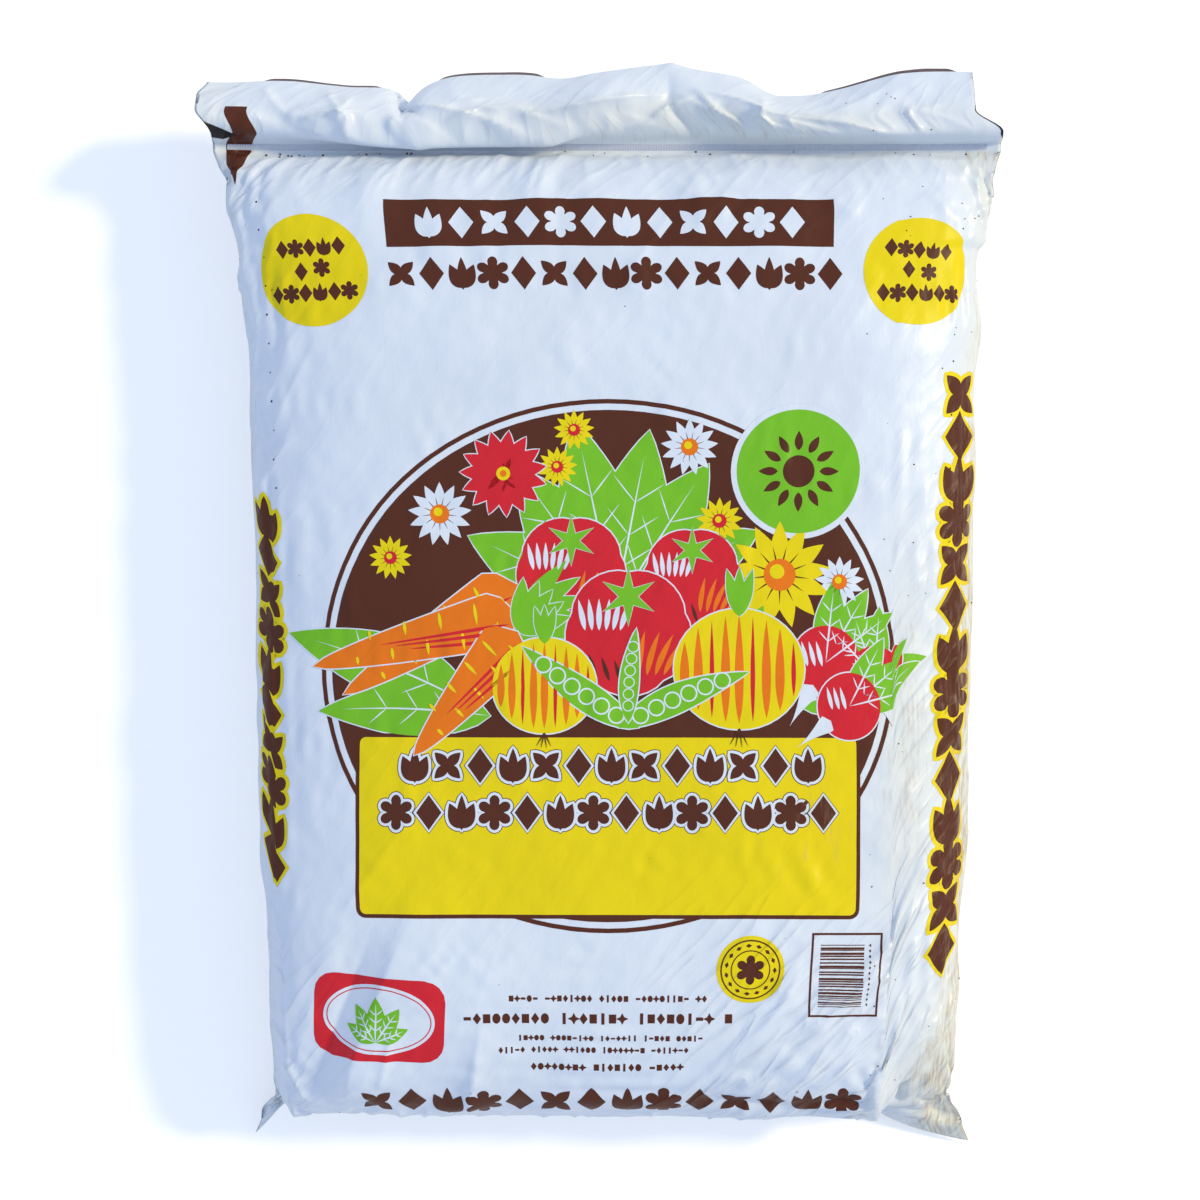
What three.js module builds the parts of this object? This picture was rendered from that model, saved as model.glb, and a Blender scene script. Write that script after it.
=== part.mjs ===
// A 25 litre pillow bag of garden soil, lying on its back as it is stacked and carried home.
// A tube of plastic film is sealed across its foot, filled, and sealed again below its mouth, so the
// loose film above that seal stands out as a wavy header, and the foot's corners stick out as two ears.
// Bag and soil are one solid. Millimetres, +X to the right, +Y to the header, +Z up from the floor.

import * as THREE from 'three';
import { LoftGeometry } from 'three/addons/geometries/LoftGeometry.js';
import { mergeVertices } from 'three/addons/utils/BufferGeometryUtils.js';

// The filled bag
const FILLED_LENGTH = 594; // foot to top seal
const FILLED_HEIGHT = 110; // floor to crown
const FILLED_WIDTH = 440; // across the middle
const SHOULDER_WIDTH = 456; // one shoulder length short of the top seal
const FOOT_WIDTH = 419; // just above the foot
const SHOULDER = 80;
const SIDE_FOLD_HEIGHT = 50; // where the front and the back of the film tube meet

// The top seal and the header above it
const SEAL_WIDTH = 488;
const SEAL_HEIGHT = 66;
const SEAL_BAND = 5; // the crimped strip
const SEAL_SHIFT = -5; // the seal and the header have slid to the left of the soil
const HEADER_FILM = 52; // film from the seal to the cut mouth
const HEADER_REACH = 43; // how far the mouth lies beyond the seal
const HEADER_WIDTH = 472; // along the mouth
const HEADER_SWELL = 9; // how much wider the header is just above the seal
const HEADER_SHIFT = -15;
const HEADER_DROOP = 6;
const DOUBLE_FILM = 1.6; // both layers with the air between them

// The waves of the mouth: the place across from -1 to 1, the width in the same measure, the reach
const MOUTH_WAVES = [
  [-1, 0.2, -3],
  [-0.6, 0.16, -8],
  [-0.475, 0.045, -12],
  [-0.1, 0.06, -4],
  [0.12, 0.12, 6],
  [0.5, 0.12, -15],
  [0.95, 0.15, 4],
];

// The foot, whose hem is tucked under between the ears
const EAR_SPAN = 436;
const EAR_REACH = 8;
const EAR_HEIGHT = 12;
const HEM = 11; // film beyond the foot's seal
const HEM_TUCK = 26;
const HEM_HEIGHT = 16;
const LEFT_EAR = 0.13; // the share of half the width that an ear takes
const RIGHT_EAR = 0.25;

// Gathers where the film runs into the top seal, and the slack fold that runs up from the left ear
const GATHER_DEPTH = 3.2;
const GATHER_REACH = 14; // where they are deepest
const SLACK_DEPTH = 4.5;
const SLACK_WIDTH = 17;
const SLACK_LENGTH = 150;

// Facets
const COLUMNS = 50; // across the front, and again across the back
const BODY_ROWS = 42;
const HEADER_ROWS = 8;
const HEM_ROWS = 2;

const FOOT_Y = -FILLED_LENGTH / 2;
const SEAL_Y = FILLED_LENGTH / 2;

const mix = THREE.MathUtils.lerp;
const ease = THREE.MathUtils.smoothstep;
const bump = (x, middle, width) => Math.exp(-(((x - middle) / width) ** 2));

// A line along the bag, drawn through (half width, along, height)
const line = (points) => new THREE.CatmullRomCurve3(
  points.map(([x, y, z]) => new THREE.Vector3(x, y, z)), false, 'centripetal');

// Over the soil along the middle, from the foot's seal round the foot's bulge to the top seal
const crown = line([
  [0, FOOT_Y + HEM_TUCK, HEM_HEIGHT],
  [0, FOOT_Y + 5, FILLED_HEIGHT * 0.3],
  [0, FOOT_Y, FILLED_HEIGHT * 0.5],
  [0, FOOT_Y + 14, FILLED_HEIGHT * 0.78],
  [0, FOOT_Y + 52, FILLED_HEIGHT * 0.96],
  [0, FOOT_Y * 0.45, FILLED_HEIGHT],
  [0, SEAL_Y * 0.4, FILLED_HEIGHT * 0.985],
  [0, SEAL_Y - SHOULDER, FILLED_HEIGHT * 0.93],
  [0, SEAL_Y - SHOULDER * 0.3, FILLED_HEIGHT * 0.8],
  [0, SEAL_Y, SEAL_HEIGHT],
]);

// Under the soil along the middle: flat on the floor, then up to the top seal
const underside = line([
  [0, FOOT_Y + HEM_TUCK, HEM_HEIGHT],
  [0, FOOT_Y + HEM_TUCK + 14, 4],
  [0, FOOT_Y + HEM_TUCK + 40, 0],
  [0, 0, 0],
  [0, SEAL_Y - SHOULDER, 0],
  [0, SEAL_Y - SHOULDER * 0.45, SEAL_HEIGHT * 0.22],
  [0, SEAL_Y, SEAL_HEIGHT],
]);

// The tube's side folds, from an ear to an end of the top seal
const sideFold = line([
  [EAR_SPAN / 2, FOOT_Y - EAR_REACH, EAR_HEIGHT],
  [mix(EAR_SPAN, FOOT_WIDTH, 0.7) / 2, FOOT_Y + 8, SIDE_FOLD_HEIGHT * 0.5],
  [FOOT_WIDTH / 2, FOOT_Y + 32, SIDE_FOLD_HEIGHT * 0.88],
  [mix(FOOT_WIDTH, FILLED_WIDTH, 0.5) / 2, FOOT_Y * 0.58, SIDE_FOLD_HEIGHT],
  [FILLED_WIDTH / 2, FOOT_Y * 0.4, SIDE_FOLD_HEIGHT],
  [FILLED_WIDTH / 2, SEAL_Y * 0.2, SIDE_FOLD_HEIGHT],
  [SHOULDER_WIDTH / 2, SEAL_Y - SHOULDER, SIDE_FOLD_HEIGHT],
  [mix(SHOULDER_WIDTH, SEAL_WIDTH, 0.45) / 2, SEAL_Y - SHOULDER * 0.35, mix(SIDE_FOLD_HEIGHT, SEAL_HEIGHT, 0.5)],
  [SEAL_WIDTH / 2, SEAL_Y, SEAL_HEIGHT],
]);

// A quarter of the cross section, spaced evenly along the film and then scaled to run from its middle
// at (0, 1) to the side fold at (1, 0)
function quarter(depth, shoulder, wall) {
  const size = new THREE.Vector2(FILLED_WIDTH / 2, depth);
  const corners = [[0, 1], [shoulder, 1], [1, wall], [1, 0]].map(([x, z]) => new THREE.Vector2(x, z).multiply(size));
  const curve = new THREE.CubicBezierCurve(...corners);
  return (outward) => curve.getPointAt(outward).divide(size);
}
const frontQuarter = quarter(FILLED_HEIGHT - SIDE_FOLD_HEIGHT, 0.7, 0.86);
const backQuarter = quarter(SIDE_FOLD_HEIGHT, 0.82, 0.8);
const FLOOR_PRESS = 1.12; // presses the back past the floor, which then cuts it flat

// Gathers as a height for the place across (-1 to 1) and the distance from the seal
function gathers(across, fromSeal) {
  const waves = 0.6 * Math.sin(33 * across + 1.3) + 0.4 * Math.sin(51 * across + 4.1);
  const depth = (fromSeal / GATHER_REACH) * Math.exp(1 - fromSeal / GATHER_REACH);
  return GATHER_DEPTH * waves * depth * (1 - across ** 8);
}

// The slack fold: a furrow beside a ridge that run up and inwards from the left ear
function slackFold(x, y) {
  const [dx, dy] = [x + FOOT_WIDTH / 2 - 12, y - FOOT_Y - 14];
  const along = (dx * 0.5 + dy * 0.866) / SLACK_LENGTH;
  const beside = (dx * 0.866 - dy * 0.5) / SLACK_WIDTH;
  const strength = ease(along, 0, 0.25) * (1 - ease(along, 0.45, 1));
  return -SLACK_DEPTH * strength * (bump(beside, 0, 1) - 0.7 * bump(beside, 1.7, 1));
}

// How much a place across belongs to an ear: 1 at its tip
function ear(across) {
  const share = across < 0 ? LEFT_EAR : RIGHT_EAR;
  return Math.max(0, (Math.abs(across) - 1 + share) / share) ** 1.15;
}

// A point of the filled part: side is 1 on the front and -1 on the back, across runs from -1 to 1, and
// along from 0 at the foot's seal to 1 at the top seal
function filledPoint(side, across, along) {
  const middle = (side > 0 ? crown : underside).getPointAt(along);
  const fold = sideFold.getPointAt(along);
  const outward = Math.abs(across);
  const round = (side > 0 ? frontQuarter : backQuarter)(outward);
  const open = Math.min(1, (crown.getPointAt(along).z - underside.getPointAt(along).z) / (FILLED_HEIGHT * 0.6));
  const x = Math.sign(across) * fold.x * mix(outward, round.x, open) + SEAL_SHIFT * ease(along, 0.75, 1);
  const y = mix(middle.y, fold.y, ear(across));
  if (side > 0) {
    const z = mix(fold.z, middle.z, round.y) + gathers(across, SEAL_Y - y) * open;
    return new THREE.Vector3(x, y, z + slackFold(x, y) * open);
  }
  const pressed = fold.z - (fold.z - middle.z) * round.y * mix(1, FLOOR_PRESS, open);
  return new THREE.Vector3(x, y, Math.max(0, pressed));
}

// How far the mouth lies beyond the seal
const headerReach = (across) => MOUTH_WAVES.reduce(
  (reach, [middle, width, height]) => reach + height * bump(across, middle, width), HEADER_REACH);

// A point midway between the header's two layers. The film keeps its length, so what it lacks in reach
// it has in the rise of its arch
function headerPoint(across, up) {
  const reach = headerReach(across);
  const rise = Math.sqrt(0.375 * reach * Math.max(HEADER_FILM - reach, 0));
  const swell = HEADER_SWELL * Math.sin(Math.PI * Math.min(1, up * 1.4));
  const halfWidth = (mix(SEAL_WIDTH, HEADER_WIDTH, up) + swell) / 2;
  return new THREE.Vector3(
    across * halfWidth + mix(SEAL_SHIFT, HEADER_SHIFT, ease(up, 0, 0.4)),
    SEAL_Y + SEAL_BAND + reach * up,
    SEAL_HEIGHT + rise * Math.sin(Math.PI * up ** 0.8) - HEADER_DROOP * up ** 2);
}

// A point midway between the hem's two layers, out being 0 at the foot's seal and 1 at the cut edge
function hemPoint(across, out) {
  const seal = filledPoint(1, across, 0);
  return new THREE.Vector3(
    seal.x * (1 + 0.02 * out),
    seal.y + HEM * out * mix(0.8, -0.9, ear(across)),
    seal.z - out * mix(HEM_HEIGHT - DOUBLE_FILM, EAR_HEIGHT - DOUBLE_FILM, ear(across)) * 0.75);
}

// One section of the loft: across the front from the left fold to the right, and back across the back
const place = (column) => -1 + 2 * column / COLUMNS;
function section(pointAt) {
  const points = [];
  for (let column = 0; column < COLUMNS; column += 1) {
    points.push(pointAt(1, place(column)));
  }
  for (let column = COLUMNS; column > 0; column -= 1) {
    points.push(pointAt(-1, place(column)));
  }
  return points;
}

// Sections of double film, which keep their thickness up to the side folds
function filmSection(middleAt) {
  const half = (across) => DOUBLE_FILM / 2 * (1 - across ** 12);
  return section((side, across) => {
    const point = middleAt(across);
    point.z += side * half(across);
    return point;
  });
}

function bagSections() {
  const sections = [];
  const edge = DOUBLE_FILM / 2;
  sections.push(section((side, across) => hemPoint(across, 1 + edge / HEM)));
  for (let row = HEM_ROWS; row > 0; row -= 1) {
    sections.push(filmSection((across) => hemPoint(across, row / HEM_ROWS)));
  }
  sections.push(filmSection((across) => filledPoint(1, across, 0)));
  for (let row = 1; row < BODY_ROWS; row += 1) {
    const even = row / BODY_ROWS;
    const along = mix(even, (1 - Math.cos(Math.PI * even)) / 2, 0.6); // closer together at both ends
    sections.push(section((side, across) => filledPoint(side, across, along)));
  }
  sections.push(filmSection((across) => filledPoint(1, across, 1)));
  for (let row = 0; row <= HEADER_ROWS; row += 1) {
    sections.push(filmSection((across) => headerPoint(across, row / HEADER_ROWS)));
  }
  sections.push(section((side, across) => headerPoint(across, 1 + edge / HEADER_REACH)));
  return sections;
}

function bag() {
  const surface = new THREE.BufferGeometry().copy(new LoftGeometry(bagSections()));
  surface.deleteAttribute('normal');
  surface.deleteAttribute('uv');
  const closed = mergeVertices(surface, 1e-3);
  closed.computeBoundingBox();
  const { min, max } = closed.boundingBox;
  closed.translate(-(min.x + max.x) / 2, -(min.y + max.y) / 2, -min.z);
  closed.computeVertexNormals();
  const film = new THREE.MeshStandardMaterial({ color: 0xd8e3f2, roughness: 0.42, metalness: 0 });
  const mesh = new THREE.Mesh(closed, film);
  mesh.name = 'soil_bag';
  return mesh;
}

const group = new THREE.Group();
group.add(bag());

export default group;
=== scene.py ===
# %% [markdown]
# A 25 litre bag of garden soil, lying on its back under a camera that looks straight down. The CAD model
# gives its place and size. This script makes what the eye sees: a tube of plastic film, sealed at both
# ends, wrinkled by its own slack, printed in seven inks, and a little dirty.

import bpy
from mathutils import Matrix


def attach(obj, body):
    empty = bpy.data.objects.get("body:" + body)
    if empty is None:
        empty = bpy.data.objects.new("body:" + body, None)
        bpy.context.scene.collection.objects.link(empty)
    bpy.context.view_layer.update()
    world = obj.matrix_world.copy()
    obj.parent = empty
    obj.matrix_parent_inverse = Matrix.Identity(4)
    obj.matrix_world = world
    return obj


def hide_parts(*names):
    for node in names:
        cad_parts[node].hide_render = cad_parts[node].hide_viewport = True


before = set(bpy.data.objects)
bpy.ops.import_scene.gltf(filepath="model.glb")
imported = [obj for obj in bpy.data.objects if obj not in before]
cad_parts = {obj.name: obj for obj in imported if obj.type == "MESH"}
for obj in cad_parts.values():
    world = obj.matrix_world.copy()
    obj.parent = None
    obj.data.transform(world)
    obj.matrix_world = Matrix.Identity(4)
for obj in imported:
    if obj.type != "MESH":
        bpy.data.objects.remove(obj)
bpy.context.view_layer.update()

import math

import bmesh
import bpy
import numpy as np
from mathutils import Vector

MM = 0.001

# %% [markdown]
# A photograph from straight above has almost no perspective, but the header and the ears lie lower than
# the print and so look a little smaller. A camera two metres up gives the same effect. It is made first,
# because every size in the picture depends on it.

# %% Camera
PHOTO_SIZE = 1200  # pixels, the photograph is square
PIXELS_PER_MM = 1.63  # at the height of the bag's sides
CAMERA_HEIGHT = 2200  # mm above the floor
SIDE_FOLD_HEIGHT = 50
BAG_CENTRE = (614, 639)  # the middle of the filled part in the photograph, in pixels


def make_camera(bag_middle):
    """A camera above the bag, with the bag where the photograph has it. bag_middle is in mm."""
    data = bpy.data.cameras.new("camera")
    distance = CAMERA_HEIGHT - SIDE_FOLD_HEIGHT
    data.angle = 2 * math.atan(PHOTO_SIZE / PIXELS_PER_MM / 2 / distance)
    camera = bpy.data.objects.new("camera", data)
    bpy.context.collection.objects.link(camera)
    right = (PHOTO_SIZE / 2 - BAG_CENTRE[0]) / PIXELS_PER_MM
    up = (BAG_CENTRE[1] - PHOTO_SIZE / 2) / PIXELS_PER_MM
    camera.location = ((bag_middle[0] + right) * MM, (bag_middle[1] + up) * MM, CAMERA_HEIGHT * MM)
    bpy.context.scene.camera = camera
    return camera


# %% [markdown]
# The film is one flat tube about 500 mm wide. Filling it turns each cross section into a flattened oval
# and rounds the foot. The lines below are the ones that the CAD model is lofted along: the crown over the
# soil, the underside on the floor, and the side folds between them. Repeating them here, instead of
# measuring the CAD mesh, tells every point of the film how far it lies from the foot and from the middle,
# and that is what the print needs to stay undistorted.

# %% Sizes of the bag, in millimetres
FILLED_LENGTH = 594
FILLED_HEIGHT = 110
FILLED_WIDTH = 440
SHOULDER_WIDTH = 456
FOOT_WIDTH = 419
SHOULDER = 80
FOOT_Y = -FILLED_LENGTH / 2
SEAL_Y = FILLED_LENGTH / 2

SEAL_WIDTH = 488
SEAL_HEIGHT = 66
SEAL_BAND = 5
SEAL_SHIFT = -5
HEADER_FILM = 52
HEADER_REACH = 43
HEADER_LEFT_FLARE = 9
HEADER_LEFT_TUCK = 5
HEADER_RIGHT_TUCK = 16.5
HEADER_DROOP = 6
HEADER_RISE = 1.4  # times as high as a shallow arc of the same film
HEADER_MIDDLE_RISE = 5
SEAL_FURROW = 7
FURROW_BELOW = 2.2  # its width on the body's side of the seal
FURROW_ABOVE = 9  # and on the header's side
LEFT_SHOULDER_TUCK = 4.5
DOUBLE_FILM = 1.6
MOUTH_WAVES = [
    (-1, 0.25, -5),
    (-0.6, 0.16, -7.5),
    (-0.08, 0.07, -3),
    (0.17, 0.12, 5),
    (0.53, 0.11, -12),
    (0.67, 0.1, -5),
    (0.46, 0.05, -4),
    (0.95, 0.15, 2),
]
NOTCH_ACROSS = -0.478
NOTCH_DEPTH = 14
PEAK_ACROSS = 0.205
PEAK_HEIGHT = 3

EAR_SPAN = 436
EAR_REACH = 8
EAR_HEIGHT = 12
HEM = 11
HEM_TUCK = 26
HEM_HEIGHT = 16
LEFT_EAR = 0.15
LEFT_EAR_TUCK = 5
RIGHT_EAR = 0.32
FOOT_TUCK = 5.5
FOOT_TUCK_REACH = 110

GATHER_DEPTH = 1.1
GATHER_REACH = 14
SLACK_DEPTH = 3
SLACK_WIDTH = 17
SLACK_LENGTH = 150


# %% Helpers for shaping the film
def between(a, b, share):
    """The point a share of the way from a to b."""
    return a + (b - a) * share


def ease(x, start, stop):
    """0 before start, 1 after stop, and smooth between them."""
    share = np.clip((x - start) / (stop - start), 0, 1)
    return share * share * (3 - 2 * share)


def bump(x, middle, width):
    """A smooth hill, 1 high at its middle."""
    return np.exp(-(((x - middle) / width) ** 2))


def evenly(points):
    """A function of 0 to 1 that walks a polyline at an even pace."""
    points = np.asarray(points, float)
    steps = np.linalg.norm(np.diff(points, axis=0), axis=1)
    walked = np.concatenate([[0], np.cumsum(steps)])
    return lambda share: np.stack(
        [np.interp(np.asarray(share) * walked[-1], walked, points[:, k]) for k in range(points.shape[1])], -1)


def smooth_line(*points):
    """A centripetal Catmull-Rom curve through points, walked at an even pace."""
    points = np.asarray(points, float)
    points = np.vstack([2 * points[0] - points[1], points, 2 * points[-1] - points[-2]])
    gaps = np.linalg.norm(np.diff(points, axis=0), axis=1) ** 0.5
    share = np.linspace(0, 1, 60)[:, None]
    pieces = []
    for k in range(1, len(points) - 2):
        before, start, stop, after = points[k - 1:k + 3]
        gap_before, gap, gap_after = gaps[k - 1:k + 2]
        slope_before = (start - before) / gap_before
        slope = (stop - start) / gap
        slope_after = (after - stop) / gap_after
        leave = gap * (slope_before - (stop - before) / (gap_before + gap) + slope)
        arrive = gap * (slope - (after - start) / (gap + gap_after) + slope_after)
        pieces.append(
            start + leave * share + (3 * (stop - start) - 2 * leave - arrive) * share**2
            + (2 * (start - stop) + leave + arrive) * share**3)
    return evenly(np.vstack(pieces))


def quarter_section(depth, shoulder, wall):
    """A quarter of the cross section: from its middle at (0, 1) to the side fold at (1, 0)."""
    size = np.array([FILLED_WIDTH / 2, depth])
    a, b, c, d = np.array([(0, 1), (shoulder, 1), (1, wall), (1, 0)]) * size
    t = np.linspace(0, 1, 400)[:, None]
    walk = evenly((1 - t) ** 3 * a + 3 * (1 - t) ** 2 * t * b + 3 * (1 - t) * t**2 * c + t**3 * d)
    return lambda outward: walk(outward) / size


# %% The lines that the bag is built on
crown = smooth_line(
    (FOOT_Y + HEM_TUCK, HEM_HEIGHT),
    (FOOT_Y + 5, FILLED_HEIGHT * 0.3),
    (FOOT_Y, FILLED_HEIGHT * 0.5),
    (FOOT_Y + 14, FILLED_HEIGHT * 0.78),
    (FOOT_Y + 52, FILLED_HEIGHT * 0.96),
    (FOOT_Y * 0.45, FILLED_HEIGHT),
    (SEAL_Y * 0.4, FILLED_HEIGHT * 0.985),
    (SEAL_Y - SHOULDER, FILLED_HEIGHT * 0.93),
    (SEAL_Y - SHOULDER * 0.3, FILLED_HEIGHT * 0.8),
    (SEAL_Y, SEAL_HEIGHT),
)
underside = smooth_line(
    (FOOT_Y + HEM_TUCK, HEM_HEIGHT),
    (FOOT_Y + HEM_TUCK + 14, 4),
    (FOOT_Y + HEM_TUCK + 40, 0),
    (0, 0),
    (SEAL_Y - SHOULDER, 0),
    (SEAL_Y - SHOULDER * 0.45, SEAL_HEIGHT * 0.22),
    (SEAL_Y, SEAL_HEIGHT),
)
side_fold = smooth_line(
    (EAR_SPAN / 2, FOOT_Y - EAR_REACH, EAR_HEIGHT),
    (between(EAR_SPAN, FOOT_WIDTH, 0.7) / 2, FOOT_Y + 8, SIDE_FOLD_HEIGHT * 0.5),
    (FOOT_WIDTH / 2, FOOT_Y + 32, SIDE_FOLD_HEIGHT * 0.88),
    (between(FOOT_WIDTH, FILLED_WIDTH, 0.5) / 2, FOOT_Y * 0.58, SIDE_FOLD_HEIGHT),
    (FILLED_WIDTH / 2, FOOT_Y * 0.4, SIDE_FOLD_HEIGHT),
    (FILLED_WIDTH / 2, SEAL_Y * 0.2, SIDE_FOLD_HEIGHT),
    (SHOULDER_WIDTH / 2, SEAL_Y - SHOULDER, SIDE_FOLD_HEIGHT),
    (between(SHOULDER_WIDTH, SEAL_WIDTH, 0.45) / 2, SEAL_Y - SHOULDER * 0.35,
     between(SIDE_FOLD_HEIGHT, SEAL_HEIGHT, 0.5)),
    (SEAL_WIDTH / 2, SEAL_Y, SEAL_HEIGHT),
)
front_quarter = quarter_section(FILLED_HEIGHT - SIDE_FOLD_HEIGHT, 0.7, 0.86)
back_quarter = quarter_section(SIDE_FOLD_HEIGHT, 0.82, 0.8)
FLOOR_PRESS = 1.12


def length_of(line):
    """The length of a line in mm, so of the film that follows it."""
    return float(np.linalg.norm(np.diff(line(np.linspace(0, 1, 4000)), axis=0), axis=1).sum())


def girth_of(section, depth):
    """The length of half a cross section in mm."""
    points = section(np.linspace(0, 1, 2000)) * (FILLED_WIDTH / 2, depth)
    return float(np.linalg.norm(np.diff(points, axis=0), axis=1).sum())


FILM_LENGTH = length_of(crown)
FILM_HALF_WIDTH = girth_of(front_quarter, FILLED_HEIGHT - SIDE_FOLD_HEIGHT)
print(f"film over the crown {FILM_LENGTH:.0f} mm, along a side fold {length_of(side_fold):.0f} mm, "
      f"underneath {length_of(underside):.0f} mm, half width {FILM_HALF_WIDTH:.0f} mm")


# %% [markdown]
# Any point of the film has three numbers: the side of the tube it is on, how far across it lies, from -1
# at the left fold to 1 at the right one, and how far along. The next functions turn whole arrays of them
# into places. The header keeps the length of its film: where its mouth reaches less far, it arches higher.

# %% From flat film to a filled bag
def gathers(across, from_seal):
    """The height of the gathers that run into the top seal."""
    waves = 0.6 * np.sin(33 * across + 1.3) + 0.4 * np.sin(51 * across + 4.1)
    depth = (from_seal / GATHER_REACH) * np.exp(1 - from_seal / GATHER_REACH)
    return GATHER_DEPTH * waves * depth * (1 - across**8)


def slack_fold(x, y):
    """The furrow and the ridge that run up and inwards from the left ear."""
    dx, dy = x + FOOT_WIDTH / 2 - 12, y - FOOT_Y - 14
    along = (dx * 0.5 + dy * 0.866) / SLACK_LENGTH
    beside = (dx * 0.866 - dy * 0.5) / SLACK_WIDTH
    strength = ease(along, 0, 0.25) * (1 - ease(along, 0.45, 1))
    return -SLACK_DEPTH * strength * (bump(beside, 0, 1) - 0.7 * bump(beside, 1.7, 1))


def furrow(across, from_seal, width):
    """How deep the film dips towards the top seal, which lies at the bottom of a crease."""
    return SEAL_FURROW * bump(from_seal, 0, width) * (1 - across**10)


def ear(across):
    """How much a place across belongs to an ear of the foot: 1 at its tip."""
    share = np.where(across < 0, LEFT_EAR, RIGHT_EAR)
    return np.maximum(0, (np.abs(across) - 1 + share) / share) ** np.where(across < 0, 0.62, 0.25)


def filled_part(side, across, along):
    """The filled part, where along runs from 0 at the foot's seal to 1 at the top seal."""
    across, along = np.broadcast_arrays(across, along)
    middle = (crown if side > 0 else underside)(along)
    fold = side_fold(along)
    section = (front_quarter if side > 0 else back_quarter)(np.abs(across))
    apart = (crown(along)[..., 1] - underside(along)[..., 1]) / (FILLED_HEIGHT * 0.6)
    fullness = 1 - np.maximum(0, 1 - apart) ** 1.6
    x = np.sign(across) * fold[..., 0] * between(np.abs(across), section[..., 0], fullness)
    x = x + SEAL_SHIFT * ease(along, 0.75, 1)
    x = x + LEFT_SHOULDER_TUCK * ease(along, 0.82, 1) * ease(-across, 0.3, 1)
    drawn_in = FOOT_TUCK * (1 - ease(middle[..., 0], FOOT_Y, FOOT_Y + FOOT_TUCK_REACH))
    ear_y = fold[..., 1] + np.where(across < 0, LEFT_EAR_TUCK, 0) * (1 - ease(along, 0, 0.08))
    y = between(middle[..., 0] + drawn_in, ear_y, ear(across))
    if side > 0:
        z = between(fold[..., 2], middle[..., 1], section[..., 1])
        z = z + (gathers(across, SEAL_Y - y) + slack_fold(x, y) * (1 - across**10)) * fullness
    else:
        press = between(1, FLOOR_PRESS, fullness)
        z = fold[..., 2] - (fold[..., 2] - middle[..., 1]) * section[..., 1] * press
    return np.stack([x, y, np.maximum(0, z - furrow(across, SEAL_Y - y, FURROW_BELOW))], -1)


def lean(across):
    """How far the header's belly hangs over the seal, in mm. It hangs furthest left of the middle."""
    return 2 + 8 * ease(across, -0.9, -0.5) * (1 - ease(across, -0.16, -0.05))


def header_reach(across):
    """How far the mouth lies beyond the seal. It has a sharp notch and a small sharp peak."""
    away = across - NOTCH_ACROSS
    notch = NOTCH_DEPTH * np.exp(-np.abs(away) / np.where(away > 0, 0.045, 0.03))
    notch = notch - PEAK_HEIGHT * np.exp(-np.abs(across - PEAK_ACROSS) / 0.035)
    waves = sum(height * bump(across, middle, width) for middle, width, height in MOUTH_WAVES)
    return HEADER_REACH - notch + waves


def header_part(across, up, beyond):
    """The header between its layers. up is 1 at the mouth, and beyond is the way from the seal in mm."""
    reach = header_reach(across)
    # A shallow arc is as high as the root of 3/8 of its span times its spare length.
    arc = np.sqrt(0.375 * reach * np.maximum(HEADER_FILM - reach, 0))
    rise = HEADER_RISE * arc + HEADER_MIDDLE_RISE * bump(across, 0.12, 0.25)
    crest = 0.4 + 0.16 * bump(across, 0.15, 0.17) - 0.18 * ease(across, 0.4, 0.75)
    arch = np.sin(math.pi * up ** (math.log(0.5) / np.log(crest)))
    left = SEAL_SHIFT + LEFT_SHOULDER_TUCK - SEAL_WIDTH / 2
    left = left - HEADER_LEFT_FLARE * ease(up, 0.1, 0.5) + HEADER_LEFT_TUCK * ease(up, 0.75, 1)
    right = SEAL_SHIFT + SEAL_WIDTH / 2 - HEADER_RIGHT_TUCK * ease(up, 0.12, 0.42)
    x = between(left, right, (across + 1) / 2)
    belly = lean(across) * bump(up, 0.17, 0.12) * ease(up, 0, 0.12) * (1 - across**8)
    y = SEAL_Y + SEAL_BAND + reach * up - belly
    z = SEAL_HEIGHT + rise * arch - HEADER_DROOP * up**2 - furrow(across, beyond, FURROW_ABOVE) - 0.15 * belly
    return np.stack(np.broadcast_arrays(x, y, z), -1)


def hem_part(across, out):
    """The hem between its two layers, where out runs from 0 at the foot's seal to 1 at its cut edge."""
    seal = filled_part(1, across, 0)
    drop = between(HEM_HEIGHT - DOUBLE_FILM, EAR_HEIGHT - DOUBLE_FILM, ear(across)) * 0.75
    x = seal[..., 0] * (1 + 0.02 * out)
    y = seal[..., 1] + HEM * out * between(0.8, -0.9, ear(across))
    return np.stack(np.broadcast_arrays(x, y, seal[..., 2] - out * drop), -1)


NO_LENGTH = 1e-6  # mm, a difference that only rounding makes


def film_shape(side, across, rows):
    """The places of one side of the tube. rows holds distances along the film in mm, 0 at the foot's seal."""
    across, rows = np.broadcast_arrays(across[None, :], rows[:, None])
    places = filled_part(side, across, np.clip(rows / FILM_LENGTH, 0, 1))
    up = np.clip((rows - FILM_LENGTH - SEAL_BAND) / HEADER_FILM, 0, 1)
    out = np.clip(-rows / HEM, 0, 1)
    apart = side * DOUBLE_FILM / 2 * (1 - across**12) * (1 - out**4)
    apart = apart[..., None] * (0, 0, 1)
    above_seal = rows >= FILM_LENGTH - NO_LENGTH
    header = header_part(across, up, rows - FILM_LENGTH) + apart
    places = np.where(above_seal[..., None], header, places)
    band = np.clip(FILM_LENGTH + SEAL_BAND - rows, 0, SEAL_BAND)
    places[..., 1] -= np.where(above_seal, band, 0)
    in_hem = rows <= NO_LENGTH
    return np.where(in_hem[..., None], hem_part(across, out) + apart, places)


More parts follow.
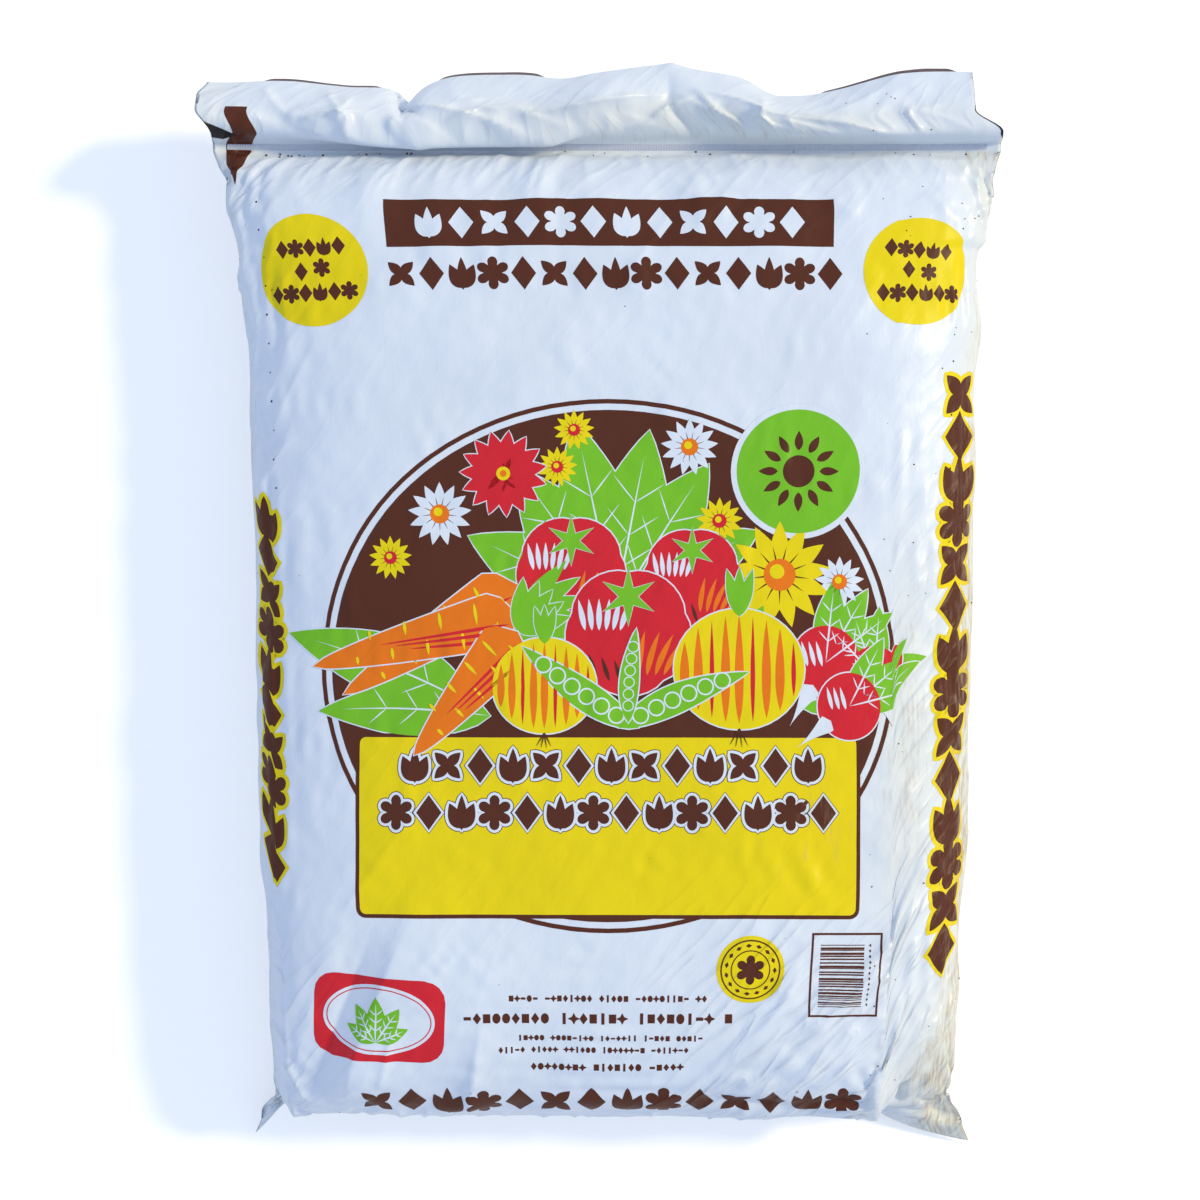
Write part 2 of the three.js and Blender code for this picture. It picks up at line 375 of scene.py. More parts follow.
# %% [markdown]
# The film is needed twice. A coarse copy with 6 mm squares is light enough for a simulation, and a fine
# one with 2 mm squares can hold a crease. Each side of the tube starts as a flat grid, as the film did,
# and its vertices are then moved to their places on the bag. Its texture coordinates stay those of the
# flat film, in metres, so that print and dirt lie on it undistorted. The two sides meet at the side folds
# and at the hem's cut edge, and stay apart at the mouth.

# %% Grids of film
COARSE_ROWS = np.concatenate([
    np.linspace(-HEM, 0, 3),
    np.linspace(0, FILM_LENGTH, 115)[1:],
    np.linspace(FILM_LENGTH + SEAL_BAND, FILM_LENGTH + SEAL_BAND + HEADER_FILM, 14),
])
COARSE_ACROSS = np.linspace(-1, 1, 85)
FINER = 3  # fine steps in a coarse one
BACK_OFFSET = 600  # mm, keeps the back's texture coordinates clear of the front's


def finer(values, axes=(0,)):
    """The values of a grid with each of its steps split, on smooth curves through the old ones."""
    for axis in axes:
        grid = np.moveaxis(np.asarray(values, float), axis, 0)
        ends = [2 * grid[:1] - grid[1:2], grid, 2 * grid[-1:] - grid[-2:-1]]
        padded = np.concatenate(ends)
        at = np.arange(FINER * (len(grid) - 1) + 1) / FINER
        step = np.minimum(at.astype(int), len(grid) - 2)
        t = (at - step).reshape(-1, *[1] * (grid.ndim - 1))
        a, b, c, d = (padded[step + k] for k in range(4))
        grid = b + 0.5 * t * (c - a + t * (2 * a - 5 * b + 4 * c - d + t * (3 * (b - c) + d - a)))
        values = np.moveaxis(grid, 0, axis)
    return values


FINE_ROWS = np.interp(np.arange(FINER * (len(COARSE_ROWS) - 1) + 1) / FINER,
                      np.arange(len(COARSE_ROWS)), COARSE_ROWS)
FINE_ACROSS = finer(COARSE_ACROSS)


def read(collection, name, width, kind=float):
    """One property of all vertices or loops, as an array with a row for each."""
    values = np.empty(len(collection) * width, kind)
    collection.foreach_get(name, values)
    return values.reshape(-1, width) if width > 1 else values


def film_side(side, across, rows, places, split=False):
    """The mesh of one side of the tube: a flat grid moved to its places, which are in mm."""
    bm = bmesh.new()
    bmesh.ops.create_grid(bm, x_segments=len(across) - 1, y_segments=len(rows) - 1, size=1)
    if side < 0:
        bmesh.ops.reverse_faces(bm, faces=bm.faces)
    if split:
        bmesh.ops.triangulate(bm, faces=bm.faces, quad_method="FIXED")
    mesh = bpy.data.meshes.new("side")
    bm.to_mesh(mesh)
    bm.free()
    grid = read(mesh.vertices, "co", 3)
    column = np.rint((grid[:, 0] + 1) / 2 * (len(across) - 1)).astype(int)
    row = np.rint((grid[:, 1] + 1) / 2 * (len(rows) - 1)).astype(int)
    mesh.vertices.foreach_set("co", (places[row, column] * MM).ravel())
    u = across[column] * FILM_HALF_WIDTH
    flat = np.stack([u if side > 0 else BACK_OFFSET - u, rows[row]], -1) * MM
    owner = read(mesh.loops, "vertex_index", 1, int)
    mesh.uv_layers.new(name="film").data.foreach_set("uv", flat[owner].ravel())
    return mesh


def new_object(name, bm):
    """A mesh object made from a bmesh, smooth shaded."""
    mesh = bpy.data.meshes.new(name)
    bm.to_mesh(mesh)
    bm.free()
    mesh.shade_smooth()
    obj = bpy.data.objects.new(name, mesh)
    bpy.context.collection.objects.link(obj)
    return obj


MERGE = 1e-6  # metres, vertices closer than this become one


def film_tube(name, front_side, back_side):
    """The two sides as one piece, joined where they touch."""
    bm = bmesh.new()
    for mesh in (front_side, back_side):
        bm.from_mesh(mesh)
        bpy.data.meshes.remove(mesh)
    bmesh.ops.remove_doubles(bm, verts=bm.verts, dist=MERGE)
    return new_object(name, bm)


# mm, the middle of the filled part as seen from the CAD part's origin
ORIGIN_SHIFT = np.array([10.5, -18.0, 0])
coarse_front = film_shape(1, COARSE_ACROSS, COARSE_ROWS) + ORIGIN_SHIFT
coarse_back = film_shape(-1, COARSE_ACROSS, COARSE_ROWS) + ORIGIN_SHIFT
coarse_film = film_tube(
    "coarse_film",
    film_side(1, COARSE_ACROSS, COARSE_ROWS, coarse_front),
    film_side(-1, COARSE_ACROSS, COARSE_ROWS, coarse_back))
camera = make_camera(ORIGIN_SHIFT)
corners = np.vstack([coarse_front.reshape(-1, 3), coarse_back.reshape(-1, 3)])
print("film from", np.round(corners.min(0), 1), "to", np.round(corners.max(0), 1), "mm")

# %% [markdown]
# Film is cut flat and soil is round, so a filled bag always has more film than it needs, most of it near
# the seals, the corners and the side folds. The extra film buckles. Cloth simulation shows where: every
# spring of the film grows by the slack of its place, and the film settles on the soil, which is the CAD
# solid drawn in a little. A smooth seeded unevenness at the start tells it where to give. Seals, header
# and hem are held, and no point may move further than a cap, so that the bag keeps its size.

# %% Settle the coarse film on the soil
SETTLE_FRAMES = 20
SLACK_MOST = 0.08
SOIL_INSET = 2.5  # mm
UNEVEN = 0.9  # mm
MOVE_CAP = 6  # mm
SOIL_END = 14  # mm, how far below the top seal the soil ends
SEED = 25
random = np.random.default_rng(SEED)


def lumps(u, v, longest, shortest, waves=28):
    """A smooth unevenness about 1 high, with hills between the two sizes in mm. It is seeded."""
    total = 0
    for _ in range(waves):
        turn = random.uniform(0, math.pi)
        pace = 2 * math.pi / random.uniform(shortest, longest)
        total = total + np.sin(pace * (u * math.cos(turn) + v * math.sin(turn)) + random.uniform(0, 6.3))
    return total * math.sqrt(2 / waves)


def loop_places(obj):
    """For each loop of a coarse film: its side, row, column and vertex."""
    uv = read(obj.data.uv_layers[0].data, "uv", 2) / MM
    side = np.where(uv[:, 0] < BACK_OFFSET / 2, 1, -1)
    u = np.where(side > 0, uv[:, 0], BACK_OFFSET - uv[:, 0])
    column = np.rint((u / FILM_HALF_WIDTH + 1) / 2 * (len(COARSE_ACROSS) - 1)).astype(int)
    row = np.abs(uv[:, 1][:, None] - COARSE_ROWS).argmin(1)
    return side, row, column, read(obj.data.loops, "vertex_index", 1, int)


def soil_block():
    """The soil as something for the film to rest on."""
    bm = bmesh.new()
    bm.from_mesh(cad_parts["soil_bag"].data)
    bmesh.ops.remove_doubles(bm, verts=bm.verts, dist=MERGE)
    end = (SEAL_Y + ORIGIN_SHIFT[1] - SOIL_END) * MM
    everything = list(bm.verts) + list(bm.edges) + list(bm.faces)
    cut = bmesh.ops.bisect_plane(
        bm, geom=everything, plane_co=(0, end, 0), plane_no=(0, 1, 0), clear_outer=True)
    rim = [part for part in cut["geom_cut"] if isinstance(part, bmesh.types.BMEdge)]
    bmesh.ops.edgeloop_fill(bm, edges=rim)
    bm.normal_update()
    for vertex in bm.verts:
        vertex.co -= vertex.normal * SOIL_INSET * MM
        from_foot = vertex.co.y / MM - ORIGIN_SHIFT[1] - FOOT_Y
        vertex.co.y += FOOT_TUCK * (1 - ease(from_foot, 0, FOOT_TUCK_REACH)) * MM
    soil = new_object("soil", bm)
    soil.modifiers.new("collision", "COLLISION")
    soil.collision.thickness_outer = 0.001
    soil.collision.cloth_friction = 8
    return soil


def set_group(obj, name, weights):
    """Gives each vertex its weight in a new vertex group."""
    group = obj.vertex_groups.new(name=name)
    for index, weight in enumerate(weights):
        group.add([index], float(weight), "REPLACE")


def add_cloth(obj):
    """The film's feel: light, hard to stretch, easy to bend."""
    cloth = obj.modifiers.new("cloth", "CLOTH")
    feel = cloth.settings
    feel.quality = 5
    feel.mass = 0.05
    feel.tension_stiffness = 20
    feel.compression_stiffness = 20
    feel.compression_damping = 1
    feel.shear_stiffness = 8
    feel.bending_stiffness = 0.02
    feel.air_damping = 1
    feel.use_pressure = True
    feel.uniform_pressure_force = 0.05
    feel.effector_weights.gravity = 0.1
    feel.vertex_group_mass = "held"
    feel.vertex_group_shrink = "slack"
    feel.shrink_min = 0
    feel.shrink_max = -SLACK_MOST
    cloth.collision_settings.distance_min = 0.001
    cloth.collision_settings.use_self_collision = False
    cloth.point_cache.frame_start = 1
    cloth.point_cache.frame_end = SETTLE_FRAMES


def settle(obj):
    """Lets the film buckle on the soil, and returns how far each vertex moved, in mm."""
    _, row, column, owner = loop_places(obj)
    across, along = np.zeros((2, len(obj.data.vertices)))
    across[owner], along[owner] = COARSE_ACROSS[column], COARSE_ROWS[row]
    held_above = ease(along, FILM_LENGTH - 34, FILM_LENGTH - SOIL_END)
    held_below = 1 - ease(along, 2, 14)
    held = np.maximum(held_above, held_below)
    slack_at_seal = 0.08 + 0.92 * ease(along, FILM_LENGTH - 110, FILM_LENGTH - 15)
    slack_at_sides = 0.9 * ease(np.abs(across), 0.75, 0.98)
    slack_at_foot = 0.4 * (1 - ease(along, 60, 150))
    slack = np.maximum(np.maximum(slack_at_seal, slack_at_sides), slack_at_foot)
    set_group(obj, "held", held)
    set_group(obj, "slack", slack)
    start = read(obj.data.vertices, "co", 3)
    normals = read(obj.data.vertices, "normal", 3)
    uneven = lumps(across * FILM_HALF_WIDTH, along, 120, 30) * (1 - held)
    obj.data.vertices.foreach_set("co", (start + normals * uneven[:, None] * UNEVEN * MM).ravel())
    obj.data.update()
    soil = soil_block()
    add_cloth(obj)
    scene = bpy.context.scene
    for step in range(1, SETTLE_FRAMES + 1):
        scene.frame_set(step)
    settled = obj.evaluated_get(bpy.context.evaluated_depsgraph_get()).to_mesh()
    moved = (read(settled.vertices, "co", 3) - start) / MM
    scene.frame_set(1)
    bpy.data.objects.remove(soil)
    far = np.linalg.norm(moved, axis=1)
    print(f"film moved {far.mean():.2f} mm on average, {far.max():.1f} mm at most")
    return moved * np.minimum(1, MOVE_CAP / np.maximum(far, 1e-6))[:, None]


def as_grids(obj, values):
    """The values of the vertices laid out as the two sides of the film."""
    side, row, column, owner = loop_places(obj)
    grids = []
    for wanted in (1, -1):
        grid = np.zeros((len(COARSE_ROWS), len(COARSE_ACROSS), 3))
        these = side == wanted
        grid[row[these], column[these]] = values[owner[these]]
        grids.append(grid)
    return grids


moved = np.zeros((len(coarse_film.data.vertices), 3))
moved = settle(coarse_film)
front_move, back_move = as_grids(coarse_film, moved)
bpy.data.objects.remove(coarse_film)

# %% [markdown]
# The movement is carried over to the fine film. Finer creases follow, placed one by one or in families
# where the real bag has them: short puckers below the top seal, crumples at the left side, long diagonal
# wrinkles above the right ear, and a few faint pulls in between. Each is a long low ridge with one steep
# and one gentle flank, because film folds over rather than waving. Moving vertices by such a rule is what
# a sculptor does with a crease brush, and it gives the same film on every run.

# %% Creases
def crease(u, v, start, end, width, height, bend=0):
    """A ridge from start to end in flat film coordinates, or a furrow where height is below 0."""
    run = np.subtract(end, start)
    length = np.hypot(*run)
    along = ((u - start[0]) * run[0] + (v - start[1]) * run[1]) / length**2
    beside = ((u - start[0]) * run[1] - (v - start[1]) * run[0]) / length
    beside = beside / width + bend / width * 4 * along * (1 - along)
    ends = ease(along, 0, 0.25) * (1 - ease(along, 0.6, 1))
    return height * ends * np.exp(-np.abs(beside) * np.where(beside > 0, 0.8, 1.7))


def family(u, v, count, start, end, spread, length, turn, width, height, bend=0):
    """Creases that start at even steps from start to end, and differ a little from each other."""
    total = 0
    for k in range(count):
        first = between(np.array(start, float), np.array(end, float), (k + 0.5) / count)
        first = first + random.uniform(-spread, spread, 2)
        angle = math.radians(turn + random.uniform(-9, 9))
        reach = length * random.uniform(0.6, 1.35)
        last = first + reach * np.array([math.cos(angle), math.sin(angle)])
        high = height * random.uniform(0.45, 1.2)
        total = total + crease(u, v, first, last, width * random.uniform(0.75, 1.3), high, bend)
    return total


TOP = FILM_LENGTH - 2

# Families: how many, where the first and the last start, spread, length, turn, width, height and bend.
BODY_FAMILIES = [
    # Puckers below the top seal, left and right, and longer pulls between them.
    (26, (-236, TOP), (-20, TOP), 5, 36, -108, 2.6, 1.6),
    (18, (-15, TOP), (228, TOP), 6, 24, -78, 2.6, 1.2),
    (7, (-60, TOP - 5), (190, TOP - 5), 12, 95, -128, 2, 0.7),
    (5, (10, TOP - 5), (180, TOP - 5), 12, 70, -50, 2, 0.7),
    # Crumples down the left side.
    (26, (-238, 668), (-224, 480), 5, 36, 76, 2.8, 2.0),
    (12, (-212, 650), (-196, 560), 6, 30, 60, 2.8, 1.0),
    (8, (-232, 440), (-205, 540), 5, 66, 52, 3, 1.2),
    # Short ones down the right side.
    (14, (228, 640), (230, 260), 6, 36, 98, 3, 1.1),
    # Long diagonal wrinkles above the right ear.
    (10, (20, 88), (136, 96), 5, 92, 44, 3.8, 2.8, -8),
    (9, (60, 126), (186, 190), 8, 84, 48, 3.6, 2.5, -8),
    (7, (138, 86), (212, 100), 6, 56, 62, 3.4, 2.4, -4),
    # The foot, the lower left side, and faint pulls under the print.
    (20, (-170, 46), (200, 46), 7, 30, 88, 3, 2),
    (14, (-230, 80), (-216, 330), 7, 46, 80, 3, 1.2),
    (16, (-150, 130), (150, 560), 40, 110, 62, 3.5, 0.4),
]

# Single creases: start, end, width, height and bend. These are the ones above the left ear.
BODY_CREASES = [
    ((-176, 74), (-112, 226), 16, 4.8, 5),
    ((-196, 84), (-140, 210), 10, -3.8, 4),
    ((-172, 200), (-100, 300), 9, 1.6),
    ((-212, 120), (-192, 74), 2.6, 2.6),
    ((-150, 92), (-134, 150), 3, 1.6),
    ((-96, 62), (-80, 156), 8, 3.6),
]

# The same for the header.
HEADER_CREASES = [
    ((-129, 742), (-104, 704), 3.4, -7),
    ((-168, 736), (-150, 700), 2.6, 4.4),
    ((-148, 728), (-162, 698), 2.6, 4),
    ((-208, 736), (-190, 706), 2.4, 3),
    ((-100, 700), (-30, 710), 2.8, 4.5, 4),
    ((10, 696), (72, 722), 3, 5, -5),
    ((66, 724), (94, 690), 2.8, 4.5),
    ((112, 734), (104, 690), 3, 5),
    ((128, 716), (178, 692), 2.8, 4.5),
    ((207, 714), (190, 688), 2.6, 4.5),
    ((58, 722), (178, 692), 3.4, 5, 5),
    ((-118, 722), (-30, 696), 3.2, 4, -4),
    ((-60, 700), (60, 716), 3.2, 5, 5),
    ((-190, 700), (-130, 712), 3, 4, 4),
]

HEADER_FAMILIES = [
    (7, (110, 689), (228, 689), 10, 26, 60, 2.8, 1.8),
    (9, (-215, 690), (100, 690), 12, 26, 42, 2.8, 2.6),
    (12, (-220, 710), (220, 714), 12, 40, -24, 2.6, 1.8),
    (10, (-200, 700), (220, 704), 12, 40, 18, 2.6, 2),
]


def front_creases(u, v):
    """The height of all creases of the front, in mm."""
    total = 0.5 * lumps(u, v, 120, 38) + 0.1 * lumps(u, v, 24, 11)
    for kind in BODY_FAMILIES:
        total = total + family(u, v, *kind)
    for single in BODY_CREASES:
        total = total + crease(u, v, *single)
    return total


def header_creases(u, v):
    """The height of the header's creases. Its two layers share them."""
    total = 1.2 * lumps(u, v, 120, 40) + 0.25 * lumps(u, v, 22, 12)
    for single in HEADER_CREASES:
        total = total + crease(u, v, *single)
    for kind in HEADER_FAMILIES:
        total = total + family(u, v, *kind)
    return total * ease(v, FILM_LENGTH + SEAL_BAND + 3, FILM_LENGTH + SEAL_BAND + 14)


def side_bulges(across, rows):
    """How far a side fold stands out or in at each row. The right one ends in a step below the seal."""
    right = 4.5 * ease(rows, 611, 618) * (1 - ease(rows, 640, 676))
    right = right - 1.5 * bump(rows, 600, 30)
    left = 1.2 * np.sin(rows / 11) * bump(rows, 600, 55) + 0.8 * np.sin(rows / 17 + 1) * bump(rows, 200, 90)
    right = right - 4.5 * bump(rows, 225, 110) - 3 * bump(rows, 514, 35) - 3.4 * ease(rows, 560, 600)
    left = left - 3.5 * bump(rows, 225, 90) - 2 * bump(rows, 590, 60) + 2 * (1 - ease(rows, 10, 42))
    return np.where(across > 0, right, -left) * ease(np.abs(across), 0.6, 1)


def normals_of(places):
    """The outward direction at each point of a grid of the front."""
    outward = np.cross(np.gradient(places, axis=1), np.gradient(places, axis=0))
    return outward / np.linalg.norm(outward, axis=2, keepdims=True)


U, V = np.meshgrid(FINE_ACROSS * FILM_HALF_WIDTH, FINE_ROWS)
header_rise = header_creases(U, V)
front = film_shape(1, FINE_ACROSS, FINE_ROWS) + ORIGIN_SHIFT + finer(front_move, (0, 1))
front[..., 0] += side_bulges(FINE_ACROSS[None, :], FINE_ROWS[:, None])
front[..., 2] += header_rise
body = (1 - np.abs(FINE_ACROSS[None, :]) ** 24) * (V < FILM_LENGTH) * ease(V, 8, 30)
front += normals_of(front) * (front_creases(U, V) * body)[..., None]
back = film_shape(-1, COARSE_ACROSS, FINE_ROWS) + ORIGIN_SHIFT + finer(back_move, (0,))
back[..., 0] += side_bulges(COARSE_ACROSS[None, :], FINE_ROWS[:, None])
back[..., 2] += header_rise[:, ::FINER]
front[..., 2] = np.maximum(front[..., 2], 0)
back[..., 2] = np.maximum(back[..., 2], 0)
film = film_tube(
    "film",
    film_side(1, FINE_ACROSS, FINE_ROWS, front, split=True),
    film_side(-1, COARSE_ACROSS, FINE_ROWS, back, split=True))
front_normals = normals_of(front)
print("film has", len(film.data.polygons), "triangles")

# %% [markdown]
# Print is a layer of ink on the film. It could be painted by shader nodes, but its edges stay crisp
# from close by only if each ink is a thin sheet of its own just above the film. A printed shape starts as
# a disc or a ring whose rim is moved to the shape's outline on the flat film. It is cut along the edges of
# the film's triangles, and then each vertex moves to its place on the creased film, so that ink and film
# are exactly parallel. Where shapes overlap, the upper one lies a twentieth of a millimetre higher.

# %% Laying ink on the film
INK_LIFT = 0.1  # mm
INK_STEP = 0.05  # mm
INK_HAIR = 0.003  # mm, between shapes of one level, so that overlapping ones don't coincide
inks = {name: bmesh.new() for name in ("brown", "white", "yellow", "green", "red", "orange", "black")}
shapes_laid = []


def columns_and_rows(u, v):
    """Film coordinates in mm as columns and rows of the fine grid, where each of its squares is 1 wide."""
    columns = (np.asarray(u) / FILM_HALF_WIDTH + 1) / 2 * (len(FINE_ACROSS) - 1)
    return columns, np.interp(v, FINE_ROWS, np.arange(len(FINE_ROWS)))


def film_coordinates(columns, rows):
    """The way back, to mm."""
    u = (columns / (len(FINE_ACROSS) - 1) * 2 - 1) * FILM_HALF_WIDTH
    return u, np.interp(rows, np.arange(len(FINE_ROWS)), FINE_ROWS)


def on_triangles(columns, rows, lift):
    """The place in mm of a point of the fine grid on the film's triangles, lifted off it."""
    j = np.clip(columns.astype(int), 0, len(FINE_ACROSS) - 2)
    i = np.clip(rows.astype(int), 0, len(FINE_ROWS) - 2)
    s, t = (columns - j)[..., None], (rows - i)[..., None]

    def blend(grid):
        start, far = grid[i, j], grid[i + 1, j + 1]
        below = start + s * (grid[i, j + 1] - start) + t * (far - grid[i, j + 1])
        above = start + t * (grid[i + 1, j] - start) + s * (far - grid[i + 1, j])
        return np.where(s > t, below, above)

    return blend(front) + blend(front_normals) * lift


def on_film(u, v, lift):
    """The place in mm of flat film coordinates on the finished film."""
    return on_triangles(*columns_and_rows(u, v), lift)


def cut_along_grid(bm):
    """Cuts a flat shape, given in columns and rows, along the edges of the film's triangles."""
    corners = np.array([vertex.co[:2] for vertex in bm.verts])
    for axis, across_line in enumerate(((1, 0, 0), (0, 1, 0))):
        for place in range(math.ceil(corners[:, axis].min()), math.floor(corners[:, axis].max()) + 1):
            point = (place, 0, 0) if axis == 0 else (0, place, 0)
            everything = bm.verts[:] + bm.edges[:] + bm.faces[:]
            bmesh.ops.bisect_plane(bm, geom=everything, dist=1e-4, plane_co=point, plane_no=across_line)
    diagonals = {}
    for face in bm.faces:
        middle = face.calc_center_median()
        diagonals.setdefault(math.floor(middle.x) - math.floor(middle.y), []).append(face)
    for offset, faces in diagonals.items():
        parts = {part for face in faces for part in (face, *face.edges, *face.verts)}
        bmesh.ops.bisect_plane(bm, geom=list(parts), dist=1e-4, plane_co=(offset, 0, 0), plane_no=(1, -1, 0))


def lay(ink, outline, level=0, hole=None):
    """Prints one shape: the inside of an outline, or what lies between it and a hole of as many points."""
    outline = np.stack(columns_and_rows(*outline.T), -1)
    bm = bmesh.new()
    rim = bmesh.ops.create_circle(bm, cap_ends=hole is None, segments=len(outline), radius=1)["verts"]
    for vertex, place in zip(rim, outline):
        vertex.co = (*place, 0)
    if hole is not None:
        hole = np.stack(columns_and_rows(*hole.T), -1)
        inner = bmesh.ops.extrude_edge_only(bm, edges=bm.edges[:])["geom"]
        for vertex in inner:
            if isinstance(vertex, bmesh.types.BMVert):
                nearest = np.abs(outline - np.array(vertex.co[:2])).sum(1).argmin()
                vertex.co = (*hole[nearest], 0)
    cut_along_grid(bm)
    bmesh.ops.recalc_face_normals(bm, faces=bm.faces)
    for face in bm.faces:
        if face.normal.z < 0:
            face.normal_flip()
    columns, rows = np.array([vertex.co[:2] for vertex in bm.verts]).T
    shapes_laid.append(ink)
    lift = INK_LIFT + INK_STEP * level + INK_HAIR * (len(shapes_laid) % 16)
    places = on_triangles(columns, rows, lift) * MM
    flat = np.stack(film_coordinates(columns, rows), -1) * MM
    uv = bm.loops.layers.uv.new("film")
    bm.verts.index_update()
    for face in bm.faces:
        for loop in face.loops:
            loop[uv].uv = flat[loop.vert.index]
    for vertex, place in zip(bm.verts, places):
        vertex.co = place
    mesh = bpy.data.meshes.new("shape")
    bm.to_mesh(mesh)
    bm.free()
    inks[ink].from_mesh(mesh)
    bpy.data.meshes.remove(mesh)


# %% [markdown]
# The design is made of a few outlines: ovals, rounded blocks, leaves, stars and flowers. Each is a short
# formula that gives the points of its rim, and a function moves, turns and sizes it. A motif with a keyline
# is the same outline printed two or three times, each a little smaller and in the next ink.

# %% Outlines
def oval(wide, high=None, points=40):
    """An oval of these half sizes."""
    angle = np.linspace(0, 2 * math.pi, points, endpoint=False)
    return np.stack([wide * np.cos(angle), (high or wide) * np.sin(angle)], -1)


def block(wide, high, corner=0.01, steps=5):
    """A rectangle of these whole sizes with round corners."""
    angle = np.linspace(0, math.pi / 2, steps)
    quarter = corner * np.stack([np.cos(angle), np.sin(angle)], -1)
    offset = np.array([wide / 2 - corner, high / 2 - corner])
    first = quarter + offset
    second = first[::-1] * (-1, 1)
    return np.vstack([first, second, -first, -second])


def leaf(length, wide, bend=0, points=12):
    """A leaf that grows from the origin along +Y."""
    t = np.linspace(0, 1, points)
    half = wide / 2 * np.sin(math.pi * t**0.8) ** 0.9
    middle = bend * t**2
    right = np.stack([middle + half, length * t], -1)
    left = np.stack([middle - half, length * t], -1)
    return np.vstack([right, left[-2:0:-1]])


def star(tips, outer, inner):
    """A star or a diamond."""
    angle = np.arange(2 * tips) * math.pi / tips + math.pi / 2
    size = np.where(np.arange(2 * tips) % 2 == 0, outer, inner)
    return np.stack([size * np.cos(angle), size * np.sin(angle)], -1)


def blossom(petals, outer, inner, points=8):
    """A flower of round petals."""
    angle = np.linspace(0, 2 * math.pi, petals * points, endpoint=False)
    size = inner + (outer - inner) * np.abs(np.sin(angle * petals / 2)) ** 0.7
    return np.stack([size * np.cos(angle), size * np.sin(angle)], -1)


def root(length, wide, blunt=0.5, points=12):
    """A carrot or another root that hangs from the origin along -Y."""
    t = np.linspace(0, 1, points)
    half = wide / 2 * np.minimum(1, (t / 0.12) ** 0.5) * (1 - t) ** blunt
    right = np.stack([half, -length * t], -1)
    left = np.stack([-half, -length * t], -1)
    return np.vstack([left, right[-2:0:-1]])


def placed(outline, x, y, turn=0, size=1):
    """An outline moved to a place, turned by degrees against the clock."""
    c, s = math.cos(math.radians(turn)) * size, math.sin(math.radians(turn)) * size
    return outline @ np.array([[c, s], [-s, c]]) + (x, y)


def grown(outline, by):
    """An outline moved outwards all round, or inwards where by is below 0."""
    ahead, behind = np.roll(outline, -1, 0) - outline, outline - np.roll(outline, 1, 0)
    ahead = ahead / np.maximum(np.linalg.norm(ahead, axis=1), 1e-9)[:, None]
    behind = behind / np.maximum(np.linalg.norm(behind, axis=1), 1e-9)[:, None]
    middle = ahead + behind
    middle = middle / np.maximum(np.linalg.norm(middle, axis=1), 0.35)[:, None]
    area = np.sum(outline[:, 0] * np.roll(outline[:, 1], -1) - np.roll(outline[:, 0], -1) * outline[:, 1])
    return outline + np.stack([middle[:, 1], -middle[:, 0]], -1) * by * np.sign(area)


def keyed(outline, layers, level=0):
    """Prints an outline in several inks. layers holds an ink and how much larger the outline is in it."""
    for step, (ink, more) in enumerate(layers):
        lay(ink, grown(outline, more), level + step)


# %% [markdown]
# The front is laid out as such bags are: a band across the top, a round picture with a panel over its foot,
# a disc in each upper corner, a column up each side and small print below. A garden picture of carrots,
# tomatoes, onions and daisies fills the oval, and rows of leaves, diamonds and petals stand wherever a
# printer would set words.

# %% Ornaments
def petal_cross(x, y, size, paint):
    """Four petals on the diagonals."""
    for turn in (0, 90, 180, 270):
        paint(placed(leaf(size * 0.52, size * 0.3), x, y, turn + 45))


def leaf_pair(x, y, size, paint):
    """An upright leaf between two that lean away from it."""
    paint(placed(leaf(size * 0.78, size * 0.4, size * 0.1), x - size * 0.02, y - size * 0.45, 32))
    paint(placed(leaf(size * 0.78, size * 0.4, -size * 0.1), x + size * 0.02, y - size * 0.45, -32))
    paint(placed(leaf(size, size * 0.3), x, y - size * 0.5))


def diamond(x, y, size, paint):
    paint(placed(star(2, size * 0.5, size * 0.36), x, y))


def small_flower(x, y, size, paint):
    paint(placed(blossom(6, size * 0.5, size * 0.26), x, y))


ORNAMENTS = [leaf_pair, diamond, petal_cross, small_flower]


def ornament_row(start, end, count, size, paint, order=(0, 1, 2, 1, 3, 1)):
    """Ornaments at even steps between two places."""
    for k in range(count):
        x, y = between(np.array(start, float), np.array(end, float), k / (count - 1))
        ORNAMENTS[order[k % len(order)]](x, y, size, paint)


def plain(ink, level):
    """A way to print an outline: in one ink."""
    return lambda outline: lay(ink, outline, level)


def lined(level, *layers):
    """A way to print an outline: in several inks, with keylines."""
    return lambda outline: keyed(outline, layers, level)


# %% Band across the top, discs and columns
lay("brown", placed(block(257.5, 29.8), 0.3, 625.6))
ornament_row((-103, 625.6), (105, 625.6), 12, 20, plain("white", 1))
ornament_row((-121, 594), (127, 594), 15, 20, plain("brown", 0), (2, 1, 0, 3, 1))

for x, y, radius, turn in ((-175, 597, 34.6, 6), (181, 596, 34.6, -5)):
    lay("yellow", placed(oval(radius, points=64), x, y))
    for rise, half, count in ((13.5, 18, 5), (0, 6.5, 2), (-14, 22.5, 6)):
        ornament_row((x - half, y + rise - turn * 0.2), (x + half, y + rise + turn * 0.2), count, 11.5,
                     plain("brown", 1), (1, 3, 1, 0))

COLUMN_PAINT = lined(0, ("yellow", 3.2), ("brown", 0.4))
ornament_row((-216, 444), (-213, 238), 10, 26, COLUMN_PAINT, (0, 1, 2, 3))
ornament_row((214, 516), (205, 158), 14, 33, COLUMN_PAINT, (2, 1, 0, 3))
print(len(shapes_laid), "shapes in the band, the discs and the columns")

